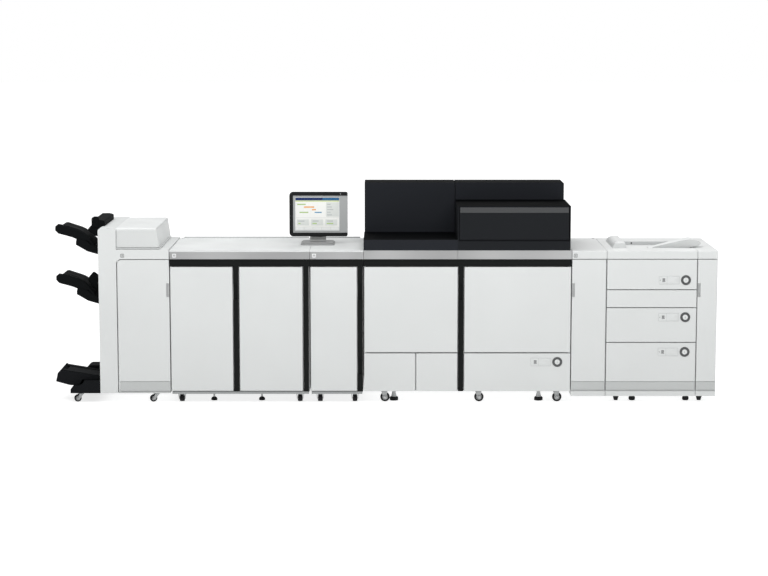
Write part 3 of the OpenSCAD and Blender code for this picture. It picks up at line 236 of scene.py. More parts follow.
class Finish:
    """Builds one material: a shader and the textures that feed it."""

    def __init__(self, name, colour, roughness, metallic=0.0, specular=0.5):
        self.material = bpy.data.materials.new(name)
        self.material.use_nodes = True
        self.tree = self.material.node_tree
        self.shader = self.tree.nodes["Principled BSDF"]
        self.set("Base Color", (*colour, 1.0))
        self.set("Roughness", roughness)
        self.set("Metallic", metallic)
        self.set("Specular IOR Level", specular)
        self.colour = tuple(colour)
        self.place = self.node("ShaderNodeTexCoord").outputs["Object"]
        FINISH[name] = self.material

    def set(self, socket, value):
        """Sets a value that is the same all over the surface."""
        self.shader.inputs[socket].default_value = value

    def feed(self, socket, output):
        """Lets a texture drive one of the shader's values."""
        self.link(output, self.shader.inputs[socket])

    def node(self, kind, **settings):
        """A new node, with its sockets and options set by name."""
        made = self.tree.nodes.new(kind)
        for key, value in settings.items():
            if key in made.inputs:
                made.inputs[key].default_value = value
            else:
                setattr(made, key, value)
        return made

    def link(self, a, b):
        """Joins an output to an input."""
        self.tree.links.new(a, b)

    def noise(self, scale, detail=2.0, vector=None):
        """Fractal noise over the object."""
        made = self.node("ShaderNodeTexNoise", Scale=scale, Detail=detail)
        self.link(vector or self.place, made.inputs["Vector"])
        return made.outputs["Fac"]

    def ranged(self, value, low_out, high_out, low_in=0.3, high_in=0.7):
        """Maps a value from one range to another."""
        made = self.node("ShaderNodeMapRange")
        limits = {"From Min": low_in, "From Max": high_in, "To Min": low_out, "To Max": high_out}
        for socket, number in limits.items():
            made.inputs[socket].default_value = number
        self.link(value, made.inputs["Value"])
        return made.outputs["Result"]

    def part_of(self, vector, axis):
        """One axis of a vector."""
        split = self.node("ShaderNodeSeparateXYZ")
        self.link(vector, split.inputs[0])
        return split.outputs[axis]

    def mixed(self, factor, first, second, blend="MIX"):
        """Mixes two colours. The factor and both colours are values or outputs."""
        made = self.node("ShaderNodeMix", data_type="RGBA", blend_type=blend)
        for socket, value in ((FACTOR, factor), (FIRST, first), (SECOND, second)):
            if isinstance(value, bpy.types.NodeSocket):
                self.link(value, made.inputs[socket])
            else:
                made.inputs[socket].default_value = value if socket == FACTOR else (*value, 1.0)
        return made.outputs[RESULT]

    def varied(self, scale, amount):
        """Lets the colour drift a little over the surface."""
        dark = [c * (1 - amount) for c in self.colour]
        light = [min(1.0, c * (1 + amount)) for c in self.colour]
        tone = self.mixed(self.ranged(self.noise(scale, 3.0), 0, 1), dark, light)
        self.feed("Base Color", tone)
        return tone

    def rough(self, scale, smooth, dull):
        """Lets the roughness vary over the surface."""
        self.feed("Roughness", self.ranged(self.noise(scale, 3.0), smooth, dull))

    def relief(self, height, depth, strength, soften=0.0):
        """Bump from a height value, over edges softened by a radius."""
        bump = self.node("ShaderNodeBump", Strength=strength, Distance=depth)
        self.link(height, bump.inputs["Height"])
        if soften:
            bevel = self.node("ShaderNodeBevel", samples=4, Radius=soften)
            self.link(bevel.outputs["Normal"], bump.inputs["Normal"])
        self.feed("Normal", bump.outputs["Normal"])


def moulded(name, colour, roughness, specular, grain, depth=0.00006, soften=0.0012, top=None, grips=None):
    """Injection-moulded plastic: a fine leather grain, a little drift in tone and gloss,
    soft edges, and painted shade that darkens the colour towards the floor. The top colour
    is painted light: a tone of its own for faces that look up, lighter or darker by how light
    falls on them. The grips' colour is for pieces that stand higher than the kick strips."""
    drift, painted_floor_shade, painted_shade_from = 0.015, 0.08, 0.05
    grips_from, grips_to = 0.30, 0.32
    f = Finish(name, colour, roughness, specular=specular)
    height = f.part_of(f.place, "Z")
    # painted shade: the colour darkens by up to 8 % from the top of the line down to the floor
    painted_shade_factor = f.ranged(height, 1 - painted_floor_shade, 1, painted_shade_from, TOP)
    tone = f.mixed(1.0, f.varied(2.2, drift), painted_shade_factor, "MULTIPLY")
    # painted light: faces that look up take the top colour, more so the more their normal points up
    if top:
        normal = f.node("ShaderNodeNewGeometry").outputs["Normal"]
        painted_top_mask = f.ranged(f.part_of(normal, "Z"), 0, 1, 0.5, 0.95)
        tone = f.mixed(painted_top_mask, tone, top)
    if grips:
        tone = f.mixed(f.ranged(height, 0, 1, grips_from, grips_to), tone, grips)
    f.feed("Base Color", tone)
    f.rough(5.0, roughness - 0.04, roughness + 0.05)
    pores = f.node("ShaderNodeTexVoronoi", Scale=grain, feature="SMOOTH_F1")
    f.link(f.place, pores.inputs["Vector"])
    f.relief(pores.outputs["Distance"], depth, 0.35, soften)


def painted(name, colour, roughness, metallic=0.0):
    """Powder-coated sheet: a fine orange-peel and soft edges."""
    f = Finish(name, colour, roughness, metallic, 0.4)
    f.varied(3.0, 0.03)
    f.rough(14.0, roughness - 0.05, roughness + 0.07)
    f.relief(f.noise(700.0), 0.00008, 0.3, 0.0008)


def brushed(name, dark, light):
    """Brushed trim: fine lines along the trim's length, and painted highlights: soft lighter
    patches at set places along the trim, with darker tone between them."""
    f = Finish(name, dark, 0.34, 0.85)
    stretched = f.node("ShaderNodeMapping", Scale=(6.0, 500.0, 1400.0))
    f.link(f.place, stretched.inputs["Vector"])
    lines = f.noise(1.0, 4.0, stretched.outputs["Vector"])
    along = f.ranged(f.part_of(f.place, "X"), 0, 1, low("silver_trim")[0], high("silver_trim")[0])
    ramp = f.node("ShaderNodeValToRGB")
    ramp.color_ramp.interpolation = "B_SPLINE"
    # painted highlights: where along the trim each lighter patch and each darker stretch lies
    highlights = [(0.0, 0.1), (0.11, 0.9), (0.2, 0.25), (0.345, 0.1), (0.43, 0.95), (0.482, 0.2),
                  (0.53, 0.95), (0.62, 0.3), (0.72, 0.1), (0.80, 0.95), (0.88, 0.3), (1.0, 0.05)]
    fill_ramp(ramp, [(position, (level, level, level)) for position, level in highlights])
    f.link(along, ramp.inputs[0])
    level = f.node("ShaderNodeMath", operation="ADD")
    f.link(f.ranged(lines, -0.12, 0.12), level.inputs[0])
    f.link(ramp.outputs[0], level.inputs[1])
    f.feed("Base Color", f.mixed(level.outputs[0], dark, light))
    f.feed("Roughness", f.ranged(lines, 0.28, 0.44))
    f.relief(lines, 0.00005, 0.25, 0.0008)


def rubber(name, colour):
    """Matt rubber with a dusty, uneven face."""
    f = Finish(name, colour, 0.72, specular=0.25)
    f.varied(60.0, 0.25)
    f.rough(90.0, 0.62, 0.8)
    f.relief(f.noise(900.0, 3.0), 0.0001, 0.4)


def tinted_print(name, roughness, glow=0.0):
    """Printed ink: the colour comes from each mark's own tint, over a faint grain."""
    f = Finish(name, (0.5, 0.5, 0.5), roughness, specular=0.3)
    ink = f.node("ShaderNodeAttribute", attribute_name="tint").outputs["Color"]
    tone = f.mixed(1.0, ink, f.ranged(f.noise(2500.0, 1.0), 0.96, 1.0), "MULTIPLY")
    f.feed("Base Color", tone)
    if glow:
        f.feed("Emission Color", tone)
        f.set("Emission Strength", glow)


def colour_setting(name, about, default):
    """A colour that the user can change."""
    return FloatVectorProperty(name=name, description=about, subtype="COLOR", size=3, min=0, max=1,
                               default=default)


class FinishSettings(bpy.types.PropertyGroup):
    """Colours and grain of the line's surfaces."""

    cover: colour_setting("Cover white", "Colour of the doors and side covers", (0.635, 0.65, 0.645))
    # The worktop and deck top whites are painted light: the tones given to faces that look up.
    top: colour_setting("Worktop white", "Colour of the worktops and raised covers", (0.735, 0.75, 0.745))
    deck_top_painted_light: colour_setting("Deck top white", "Colour of the paper deck's top", (0.685, 0.695, 0.69))
    kick: colour_setting("Kick grey", "Colour of the kick strips", (0.485, 0.50, 0.495))
    grip: colour_setting("Grip grey", "Colour of the latch grips", (0.37, 0.38, 0.38))
    black: colour_setting("Trim black", "Colour of the posts and header bands", (0.0050, 0.0058, 0.0056))
    tray: colour_setting("Tray black", "Colour of the output trays and their hoods",
                         (0.0055, 0.0062, 0.0066))
    tower: colour_setting("Tower black", "Colour of the toner tower", (0.0195, 0.0212, 0.0252))
    toner: colour_setting("Toner box black", "Colour of the toner supply box", (0.0160, 0.0172, 0.0192))
    # The two silver tones are the trim's painted shade between its painted highlights, and the highlights
    # themselves.
    silver_dark: colour_setting("Silver, dark", "Silver trim between its highlights",
                                (0.36, 0.362, 0.364))
    silver_painted_highlight: colour_setting("Silver, light", "Silver trim in its highlights",
                                 (0.53, 0.535, 0.535))
    grain: FloatProperty(name="Moulded grain", description="Cells of the moulded grain in a metre",
                         default=1500.0, min=200.0, max=4000.0)
    edge: FloatProperty(name="Edge radius", description="Radius that the covers' edges look rounded to",
                        default=0.0015, min=0.0, max=0.005, unit="LENGTH")


class LINE_OT_finishes(bpy.types.Operator):
    """Give every fixed and moving part of the frame its finish"""

    bl_idname = "line.finishes"
    bl_label = "Frame Finishes"

    def execute(self, context):
        s = context.scene.line_finish
        coarse, fine = s.grain * 0.8, s.grain * 1.2
        # Painted shade: the finisher's top cover gets a darker copy of the cover white on its front faces.
        hood = [0.935 * c for c in s.cover]
        moulded("white_cover", s.cover, 0.42, 0.4, s.grain, soften=s.edge)
        moulded("top_white", s.cover, 0.36, 0.45, fine, soften=s.edge, top=s.top)
        moulded("shaded_hood_white", hood, 0.38, 0.4, s.grain, soften=s.edge, top=s.top)
        moulded("deck_white", s.cover, 0.4, 0.4, s.grain, soften=s.edge, top=s.deck_top_painted_light)
        moulded("kick_grey", s.kick, 0.5, 0.35, s.grain, soften=0.0008, grips=s.grip)
        moulded("hub_grey", (0.55, 0.56, 0.56), 0.4, 0.4, s.grain, soften=0.0006)
        moulded("button_white", (0.68, 0.695, 0.69), 0.35, 0.4, s.grain)
        moulded("tray_black", s.tray, 0.6, 0.03, coarse, 0.0001, 0.002)
        moulded("housing_black", (0.0085, 0.0092, 0.0104), 0.6, 0.04, coarse, 0.0001, 0.002)
        moulded("band_black", s.black, 0.45, 0.12, s.grain, soften=0.001)
        # The tower and the toner box get much darker tones on faces that look up: painted shade.
        moulded("tower_black", s.tower, 0.62, 0.018, s.grain, soften=0.002, top=(0.002, 0.0023, 0.0026))
        moulded("toner_black", s.toner, 0.66, 0.010, s.grain, soften=0.002, top=(0.0012, 0.0014, 0.0016))
        moulded("container_black", (0.02, 0.02, 0.022), 0.35, 0.3, s.grain)
        moulded("strip_grey", (0.058, 0.060, 0.062), 0.42, 0.2, s.grain)
        moulded("ring_grey", (0.085, 0.088, 0.089), 0.34, 0.4, s.grain)
        moulded("console_grey", (0.36, 0.37, 0.37), 0.45, 0.35, s.grain)
        moulded("console_black", (0.012, 0.013, 0.0135), 0.45, 0.12, s.grain)
        painted("stand_grey", (0.32, 0.325, 0.325), 0.42)
        painted("lit_neck_grey", (0.60, 0.61, 0.60), 0.42)
        painted("rail_grey", (0.27, 0.28, 0.28), 0.5)
        painted("lip_grey", (0.56, 0.57, 0.57), 0.5)
        painted("painted_shadow_grey", (0.40, 0.41, 0.41), 0.6)
        painted("well_shade_grey", (0.50, 0.51, 0.51), 0.5)
        painted("fork_grey", (0.46, 0.47, 0.47), 0.45)
        painted("inner_grey", (0.12, 0.125, 0.13), 0.5)
        painted("liner_white", (0.5, 0.51, 0.51), 0.5)
        painted("screw_zinc", (0.5, 0.5, 0.48), 0.3, metallic=0.9)
        painted("caster_metal", (0.42, 0.43, 0.43), 0.38, metallic=0.4)
        brushed("silver", s.silver_dark, s.silver_painted_highlight)
        rubber("wheel_rubber", (0.008, 0.008, 0.009))
        rubber("foot_black", (0.007, 0.007, 0.008))
        tinted_print("sign_ink", 0.5)
        tinted_print("screen_light", 0.25, glow=0.3)
        glass = Finish("screen", (0.62, 0.68, 0.74), 0.16)
        glass.varied(40.0, 0.02)
        glass.rough(30.0, 0.12, 0.2)
        own = {"tower": "tower_black", "tower_base": "tower_black", "toner_housing": "toner_black",
               "toner_cover": "toner_black", "deck_worktop": "deck_white", "feeder_head": "deck_white",
               "finisher_top_cover": "shaded_hood_white", "booklet_housing": "housing_black",
               "booklet_tray": "housing_black"}
        for row in frame["record"]["subparts"]:
            name = own.get(row["node"], row["material_slot"])
            part = NODES[row["node"]]
            part.material_slots[0].link = "OBJECT"
            part.material_slots[0].material = FINISH[name]
        return {"FINISHED"}


# ---------------------------------------------------------------- label plates and icons

DARK_INK = (0.08, 0.083, 0.085)


class PlateSettings(bpy.types.PropertyGroup):
    """Label plates beside the ring handles."""

    width: FloatProperty(name="Plate width", description="Width of a label plate",
                         default=0.138, min=0.08, max=0.2, unit="LENGTH")
    height: FloatProperty(name="Plate height", description="Height of a label plate",
                          default=0.055, min=0.03, max=0.08, unit="LENGTH")
    reach: FloatProperty(name="Plate reach", description="From the ring's centre to the plate's near end",
                         default=0.043, min=0.034, max=0.08, unit="LENGTH")


class LINE_OT_label_plates(bpy.types.Operator):
    """Add the label plates beside the ring handles and the buttons inside the rings"""

    bl_idname = "line.label_plates"
    bl_label = "Label Plates"

    def execute(self, context):
        s = context.scene.line_plate
        rings = {"engine_drawer_ring": "engine_drawer"}
        rings.update({f"deck_drawer_ring_{k}": f"deck_drawer_{k}" for k in (1, 2, 3)})
        for ring, body in rings.items():
            x, _, z = (low(ring) + high(ring)) / 2
            self.plate(s, body, x - s.reach - s.width / 2, z)
            self.sign(s, body, x, z)
            self.button(body, x, z)
        return {"FINISHED"}

    def plate(self, s, body, x, z):
        """A rounded plate with a raised window right of its divider."""
        left, right = x - 0.013, x + s.width / 2 - 0.004
        shell = Shell()
        shell.slab(s.width, s.height, 0.006, 0.0006, (x, FRONT, z), soft=0.0004, steps=6)
        shell.slab(right - left, s.height - 0.009, 0.003, 0.0003, ((left + right) / 2, FRONT - 0.0005, z),
                   soft=0.0002)
        shell.finish(f"label_plate_{body}", body, "white_cover", FINISH["white_cover"])

    def sign(self, s, body, x, z):
        """The plate's border and divider, printed grey as painted shade along the plate's raised
        edges, and its drawer sign: a stack of sheets over a wider tray, with a dot beside it on the paper
        deck."""
        painted_edge_shade, line = (0.43, 0.44, 0.44), 0.0013
        middle = x - s.reach - s.width / 2
        sign_x, dot_x, size = x - 0.149, x - 0.1715, 0.024
        bar = size * 0.17
        y = FRONT - 0.0006
        shell = Shell()
        # Painted shade: a grey line round the plate's edge, and one just left of the raised window.
        shell.band(round_outline(s.width, s.height, 0.006), line, MARK, (middle, FRONT - 0.0004, z), painted_edge_shade)
        shell.slab(line, s.height - 0.002, 0.0004, MARK, (middle - 0.015, FRONT - 0.0005, z), tint=painted_edge_shade)
        for rise, width in ((0.40, 0.76), (0.15, 0.76), (-0.10, 0.76), (-0.37, 0.86)):
            shell.slab(size * width, bar, bar * 0.3, MARK, (sign_x, y, z + size * rise), tint=DARK_INK)
        if body != "engine_drawer":
            shell.turned([(0, 0), (0.0026, 0), (0.0026, MARK), (0, MARK)], (dot_x, y, z),
                         tint=DARK_INK, steps=12)
        shell.finish(f"label_sign_{body}", body, "ring_grey", FINISH["sign_ink"])

    def button(self, body, x, z):
        """The dished button inside the ring, and the mark printed on it."""
        shell = Shell()
        shell.turned([(0, 0), (0.0172, 0), (0.0178, 0.0004), (0.0174, 0.0012), (0.0164, 0.0014),
                      (0.0120, 0.0011), (0.0040, 0.0010), (0, 0.0010)], (x, FRONT, z), steps=48)
        shell.finish(f"ring_button_{body}", body, "kick_grey", FINISH["button_white"])
        face = FRONT - 0.0009
        mark = Shell()
        mark.slab(0.0016, 0.010, 0.0006, MARK, (x, face, z), tint=DARK_INK)
        mark.slab(0.007, 0.0016, 0.0006, MARK, (x, face, z - 0.0066), tint=DARK_INK)
        mark.finish(f"ring_mark_{body}", body, "ring_grey", FINISH["sign_ink"])


class LINE_OT_status_signs(bpy.types.Operator):
    """Add the small status signs at each station's upper left corner"""

    bl_idname = "line.status_signs"
    bl_label = "Status Signs"

    def execute(self, context):
        band_y = low("silver_trim")[1]
        size, bar, z = 0.025, 0.0034, TOP - 0.035
        grey, white = (0.17, 0.175, 0.175), (0.95, 0.96, 0.96)
        signs = [
            ("finisher", "finisher_door", 0.036, FRONT, grey, (-1, 0, 1)),
            ("fuser", "fuser_door_left", 0.030, band_y, white, (-1, 1)),
            ("bridge", "bridge_door", 0.026, band_y, white, (-1, 1)),
            ("deck", "deck_door_left", 0.022, FRONT, grey, (-1, 0, 1)),
        ]
        for name, door, inset, y, ink, bars in signs:
            x = low(door)[0] + inset
            shell = Shell()
            shell.band(round_outline(size, size, 0.005, 4), bar, MARK, (x, y, z), ink)
            for k in bars:
                shell.slab(size * 0.48, bar * 0.8, bar * 0.3, MARK, (x, y, z + k * size * 0.2), tint=ink)
            shell.finish(f"status_sign_{name}", "line", "kick_grey", FINISH["sign_ink"])
        return {"FINISHED"}


# ---------------------------------------------------------------- operator's console


class LINE_OT_screen_picture(bpy.types.Operator):
    """Add the lit picture of the operator's console: a job list and a chart"""

    bl_idname = "line.screen_picture"
    bl_label = "Screen Picture"

    def execute(self, context):
        lo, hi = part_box("console_screen")
        w, h = hi.x - lo.x, hi.z - lo.z
        shell = Shell()

        def field(x0, x1, z0, z1, tint, lift=1, radius=0.001):
            """A lit field between fractions of the screen's width and height."""
            thick = 0.0001 * lift
            shell.slab((x1 - x0) * w, (z1 - z0) * h, radius, thick,
                       (lo.x + (x0 + x1) / 2 * w, lo.y, lo.z + (z0 + z1) / 2 * h),
                       tint=tint, soft=thick * 0.2, steps=2)

        paper, rule, pane = (0.66, 0.665, 0.64), (0.36, 0.38, 0.38), (0.52, 0.54, 0.52)
        green, orange, blue = (0.30, 0.42, 0.17), (0.62, 0.25, 0.035), (0.10, 0.24, 0.36)
        field(0.004, 0.996, 0.005, 0.995, (0.56, 0.57, 0.55))
        # title bar, status bar and page
        field(0.008, 0.992, 0.905, 0.988, (0.008, 0.022, 0.09), 2, 0.0005)
        field(0.62, 0.985, 0.915, 0.978, (0.02, 0.10, 0.22), 3, 0.0005)
        field(0.008, 0.992, 0.868, 0.900, (0.47, 0.54, 0.27), 2, 0.0003)
        field(0.008, 0.992, 0.115, 0.862, paper, 2, 0.0003)
        # side list
        field(0.70, 0.985, 0.42, 0.85, pane, 3, 0.0005)
        for k in range(5):
            z = 0.775 - 0.078 * k
            field(0.72, 0.80 + 0.03 * (k % 3), z, z + 0.026, rule, 4, 0.0003)
        # job chart on its time lines
        chart = [(0.05, 0.24, 0.77, green), (0.20, 0.43, 0.69, orange), (0.38, 0.47, 0.61, orange),
                 (0.44, 0.60, 0.53, blue), (0.10, 0.30, 0.53, green)]
        for x0, x1, z, tint in chart:
            field(x0, x1, z, z + 0.036, tint, 3, 0.0006)
        for k in range(5):
            x = 0.02 + 0.165 * k
            field(x, x + 0.0015, 0.46, 0.84, pane, 3, 0.0001)
        field(0.02, 0.98, 0.385, 0.391, rule, 3, 0.0003)
        # three cards and a row of keys
        for k in range(3):
            x = 0.04 + 0.32 * k
            field(x, x + 0.27, 0.16, 0.34, pane, 3, 0.002)
            field(x + 0.03, x + 0.17, 0.275, 0.305, rule, 4, 0.0005)
            field(x + 0.03, x + 0.08 + 0.05 * k, 0.20, 0.235, green, 4, 0.0005)
        for k in range(5):
            x = 0.015 + 0.196 * k
            field(x, x + 0.18, 0.022, 0.095, (0.60, 0.61, 0.60), 2, 0.0015)
        shell.finish("screen_picture", "console_monitor", "screen", FINISH["screen_light"])
        return {"FINISHED"}


class LINE_OT_console_trim(bpy.types.Operator):
    """Add the mark on the console's rim, and a light grey plate on its neck that is painted light over the
    neck's shaded front
    """

    bl_idname = "line.console_trim"
    bl_label = "Console Trim"

    def execute(self, context):
        rim, rim_top = low("console_bezel"), high("console_bezel")[2]
        mark = Shell()
        mark.slab(0.002, 0.012, 0.0008, 0.0006, (rim[0] + 0.352, rim[1], rim_top - 0.013),
                  tint=(0.5, 0.52, 0.53))
        mark.finish("console_mark", "console_monitor", "console_black", FINISH["sign_ink"])
        lo, hi = low("console_stand"), high("console_stand")
        stand = islands("console_stand")[0]
        neck = stand[stand[:, 2] > lo[2] + 0.03]  # its corners above the base plate
        # Painted light: a plate much lighter than the stand's grey, over the neck's front where the monitor
        # shades it.
        cover = Shell()
        cover.slab(0.106, 0.032, 0.003, 0.0012, ((lo[0] + hi[0]) / 2, neck[:, 1].min(), lo[2] + 0.032),
                   soft=0.0008)
        cover.finish("console_neck_painted_light", "line", "stand_grey", FINISH["lit_neck_grey"])
        return {"FINISHED"}


# ---------------------------------------------------------------- small fittings


class LINE_OT_worktop_fittings(bpy.types.Operator):
    """Add the lip seals, the lid catches, and painted shade on the bypass well's back wall: a darker strip
    and a black disc for a small hole
    """

    bl_idname = "line.worktop_fittings"
    bl_label = "Worktop Fittings"

    def execute(self, context):
        seal = Shell()
        for part in islands("worktops"):
            lo, hi = span(part[part[:, 2] > TOP + 0.002])
            seal.slab(hi[0] - lo[0], hi[2] - TOP, 0.001, 0.0012,
                      ((lo[0] + hi[0]) / 2, lo[1], (TOP + hi[2]) / 2))
        seal.finish("worktop_lip_seal", "line", "rail_grey", FINISH["lip_grey"])
        near, far = low("deck_worktop"), high("deck_worktop")
        places = [(low("worktops")[0] + 0.024, high("worktops")[1] - 0.034, TOP),
                  (near[0] + 0.212, far[1] - 0.04, far[2])]
        catch = Shell()
        for place in places:
            catch.slab(0.020, 0.012, 0.004, 0.0022, place, "top", soft=0.001)
            catch.slab(0.009, 0.008, 0.003, 0.0036, place, "top", soft=0.001)
        catch.finish("lid_catches", "line", "stand_grey", FINISH["stand_grey"])
        # Painted shade on the well's back wall: a darker grey strip over the recess, and a black disc where a
        # small hole lies in shade.
        well_shade_at = (near[0] + 0.610, near[1] + 0.5825, far[2] - 0.0135)
        hole_shade_at = (near[0] + 0.464, near[1] + 0.582, far[2] - 0.012)
        liner, hole_shade = Shell(), Shell()
        liner.slab(0.41, 0.022, 0.002, 0.0008, well_shade_at)
        hole_shade.turned([(0, 0), (0.0055, 0), (0.0055, 0.0008), (0.004, 0.0014), (0, 0.0014)],
                      hole_shade_at, steps=20)
        liner.finish("well_painted_shade", "line", "top_white", FINISH["well_shade_grey"])
        hole_shade.finish("well_hole_shade", "line", "band_black", FINISH["band_black"])
        return {"FINISHED"}


class LINE_OT_cover_seams(bpy.types.Operator):
    """Add a grey strip of painted shadow beside the top cover, the lip under the toner cover and the strips
    under the doors
    """

    bl_idname = "line.cover_seams"
    bl_label = "Cover Seams"

    def execute(self, context):
        lo, hi = low("finisher_top_cover"), high("finisher_top_cover")
        # Painted shadow: a grey strip at the top cover's left edge, where the column shades the cover.
        painted_shadow_strip = Shell()
        painted_shadow_strip.slab(0.005, hi[2] - lo[2] - 0.026, 0.001, 0.0008,
                    (lo[0] + 0.0026, lo[1] + 0.0003, (lo[2] + hi[2]) / 2 - 0.003))
        painted_shadow_strip.finish("top_cover_painted_shadow", "line", "rail_grey", FINISH["painted_shadow_grey"])
        lo, hi = low("toner_cover"), high("toner_cover")
        lip = Shell()
        lip.slab(hi[0] - lo[0], 0.006, 0.0003, 0.030, ((lo[0] + hi[0]) / 2, lo[1] + 0.032, lo[2] - 0.005))
        lip.finish("toner_cover_lip", "line", "charcoal", FINISH["toner_black"])
        gap = 0.0014
        feet = [("finisher_door", low("finisher_cabinet")[2], low("finisher_door_trim")[2] - gap),
                ("deck_skirt", high("deck_skirt")[2] - 0.0015, low("deck_door_left_trim")[2] - gap)]
        strip = Shell()
        for part, z0, z1 in feet:
            lo, hi = low(part), high(part)
            strip.slab(hi[0] - lo[0], z1 - z0, 0.0003, 0.0006, ((lo[0] + hi[0]) / 2, FRONT, (z0 + z1) / 2))
        strip.finish("foot_strips", "line", "kick_grey", FINISH["kick_grey"])
        return {"FINISHED"}


class LINE_OT_exit_rollers(bpy.types.Operator):
    """Add the sheet rollers under the finisher's exit hoods"""

    bl_idname = "line.exit_rollers"
    bl_label = "Exit Rollers"

    def execute(self, context):
        wheel = [(0.0028, 0), (0.0085, 0), (0.0095, 0.001), (0.0095, 0.019), (0.0085, 0.02), (0.0028, 0.02)]
        shaft, count = 0.003, 6
        wheels, shafts, mouths = Shell(), Shell(), Shell()
        for hood in islands("exit_hoods"):
            lo, hi = span(hood)
            depth = hi[1] - lo[1]
            mouth_at = (hi[0], (lo[1] + hi[1]) / 2, lo[2] - 0.013)
            x, z = hi[0] - 0.020, lo[2] - 0.010
            mouths.slab(depth - 0.02, 0.034, 0.003, 0.009, mouth_at, "left", soft=0.002)
            shafts.turned([(0, 0), (shaft, 0), (shaft, depth - 0.06), (0, depth - 0.06)],
                          (x, hi[1] - 0.03, z), steps=16)
            pitch = (depth - 0.12) / (count - 1)
            for k in range(count):
                wheels.turned(wheel, (x, hi[1] - 0.05 - pitch * k, z), steps=24)
        mouths.finish("exit_mouths", "line", "tray_black", FINISH["tray_black"])
        shafts.finish("exit_roller_shafts", "line", "caster_metal", FINISH["caster_metal"])
        wheels.finish("exit_rollers", "line", "wheel_rubber", FINISH["wheel_rubber"])
        return {"FINISHED"}


def same_height(a, b):
    """True where two heights agree to 2 mm."""
    return abs(a - b) < 0.002


class LINE_OT_foot_fittings(bpy.types.Operator):
    """Add the brackets and rubber pads of the levelling feet"""

    bl_idname = "line.foot_fittings"
    bl_label = "Foot Fittings"

    def execute(self, context):
        wide, narrow = 0.026, 0.021  # foot radii that tell the kinds apart
        brackets, pads = Shell(), Shell()
        for foot in islands("levelling_feet"):
            lo, hi = span(foot)
            r, top = (hi[0] - lo[0]) / 2, hi[2]
            at = ((lo[0] + hi[0]) / 2, (lo[1] + hi[1]) / 2, 0)
            bracket, pad = [], []
            if same_height(top, low("base_rails")[2]):
                # a threaded foot with a flared socket, under the base rails
                bracket = [(0, 0.020), (0.0064, 0.020), (0.0064, top - 0.017), (0.010, top - 0.012),
                           (0.022, top - 0.004), (0.027, top - 0.001), (0.027, top), (0, top)]
                pad = [(0, 0.0002), (r, 0.0002), (r + 0.001, 0.003), (r + 0.001, 0.011),
                       (r - 0.003, 0.018), (r - 0.010, 0.023), (0, 0.0245)]
            elif r > wide:
                # a stout foot on a broad pad, under the engine
                bracket = [(0, 0.022), (0.019, 0.022), (0.0185, 0.030), (0.0125, 0.052),
                           (0.0125, top), (0, top)]
                pad = [(0, 0.0002), (r - 0.003, 0.0002), (r + 0.0003, 0.004), (r + 0.0003, 0.018),
                       (r - 0.004, 0.0235), (0, 0.0255)]
            elif r < narrow:
                # a plain rubber cone, under the paper deck
                pad = [(0, 0.0002), (0.0135, 0.0002), (0.0142, 0.005), (r + 0.0015, 0.031),
                       (r + 0.002, top), (0, top)]
            if bracket:
                brackets.turned(bracket, at, "top")
            if pad:
                pads.turned(pad, at, "top")
        brackets.finish("foot_brackets", "line", "kick_grey", FINISH["fork_grey"])
        pads.finish("foot_pads", "line", "wheel_rubber", FINISH["foot_black"])
        return {"FINISHED"}


class LINE_OT_caster_fittings(bpy.types.Operator):
    """Add the fork cheeks, tyres and axle caps of the casters"""

    bl_idname = "line.caster_fittings"
    bl_label = "Caster Fittings"

    def execute(self, context):
        tyre = [(0, 0), (0.021, 0), (0.0244, 0.003), (0.0244, 0.029), (0.021, 0.032), (0, 0.032)]
        cap = [(0, 0), (0.0130, 0), (0.0130, 0.0010), (0.0112, 0.0022), (0.0100, 0.0012), (0.0066, 0.0012),
               (0.0062, 0.0050), (0.0048, 0.0060), (0, 0.0060)]
        half_tyre, trail, small_axle, large_axle = 0.016, 0.006, 0.025, 0.032
        cheeks, tyres, caps = Shell(), Shell(), Shell()
        for fork in islands("caster_forks"):
            lo, hi = span(fork)
            x, y, top = (lo[0] + hi[0]) / 2, (lo[1] + hi[1]) / 2, hi[2]
            if same_height(top, low("base_rails")[2]):
                for k in (-1, 1):
                    foot = sorted((x + k * 0.0190, x + k * 0.0215))
                    head = sorted((x + k * 0.0225, x + k * 0.0265))
                    cheeks.taper((*foot, y - 0.011, y + 0.011, 0.017), (*head, y - 0.0215, y + 0.0215, top))
                tyres.turned(tyre, (x - half_tyre, y + trail, small_axle), "right")
            elif same_height(top, low("engine_cabinet")[2]):
                face, side = (lo[1], "front") if y < 0 else (hi[1], "rear")
                caps.turned(cap, (x + trail, face, large_axle), side, steps=24)
        cheeks.finish("caster_cheeks", "line", "kick_grey", FINISH["fork_grey"])
        tyres.finish("caster_tyres", "line", "wheel_rubber", FINISH["wheel_rubber"])
        caps.finish("caster_caps", "line", "caster_metal", FINISH["caster_metal"])
        return {"FINISHED"}


class LINE_OT_tower_louvres(bpy.types.Operator):
    """Add the louvres on the toner tower's back"""

    bl_idname = "line.tower_louvres"
    bl_label = "Tower Louvres"

    def execute(self, context):
        rows, pitch, first, aside = 9, 0.02, 0.09, 0.12
        louvre = Shell()
        for panel in islands("tower"):
            lo, hi = span(panel)
            middle = (lo[0] + hi[0]) / 2
            for k in range(rows):
                z = lo[2] + first + pitch * k
                for x in (middle - aside, middle + aside):
                    louvre.slab(0.19, 0.009, 0.004, 0.003, (x, hi[1], z), "rear", soft=0.002)
        louvre.finish("tower_louvres", "line", "charcoal", FINISH["tower_black"])
        return {"FINISHED"}


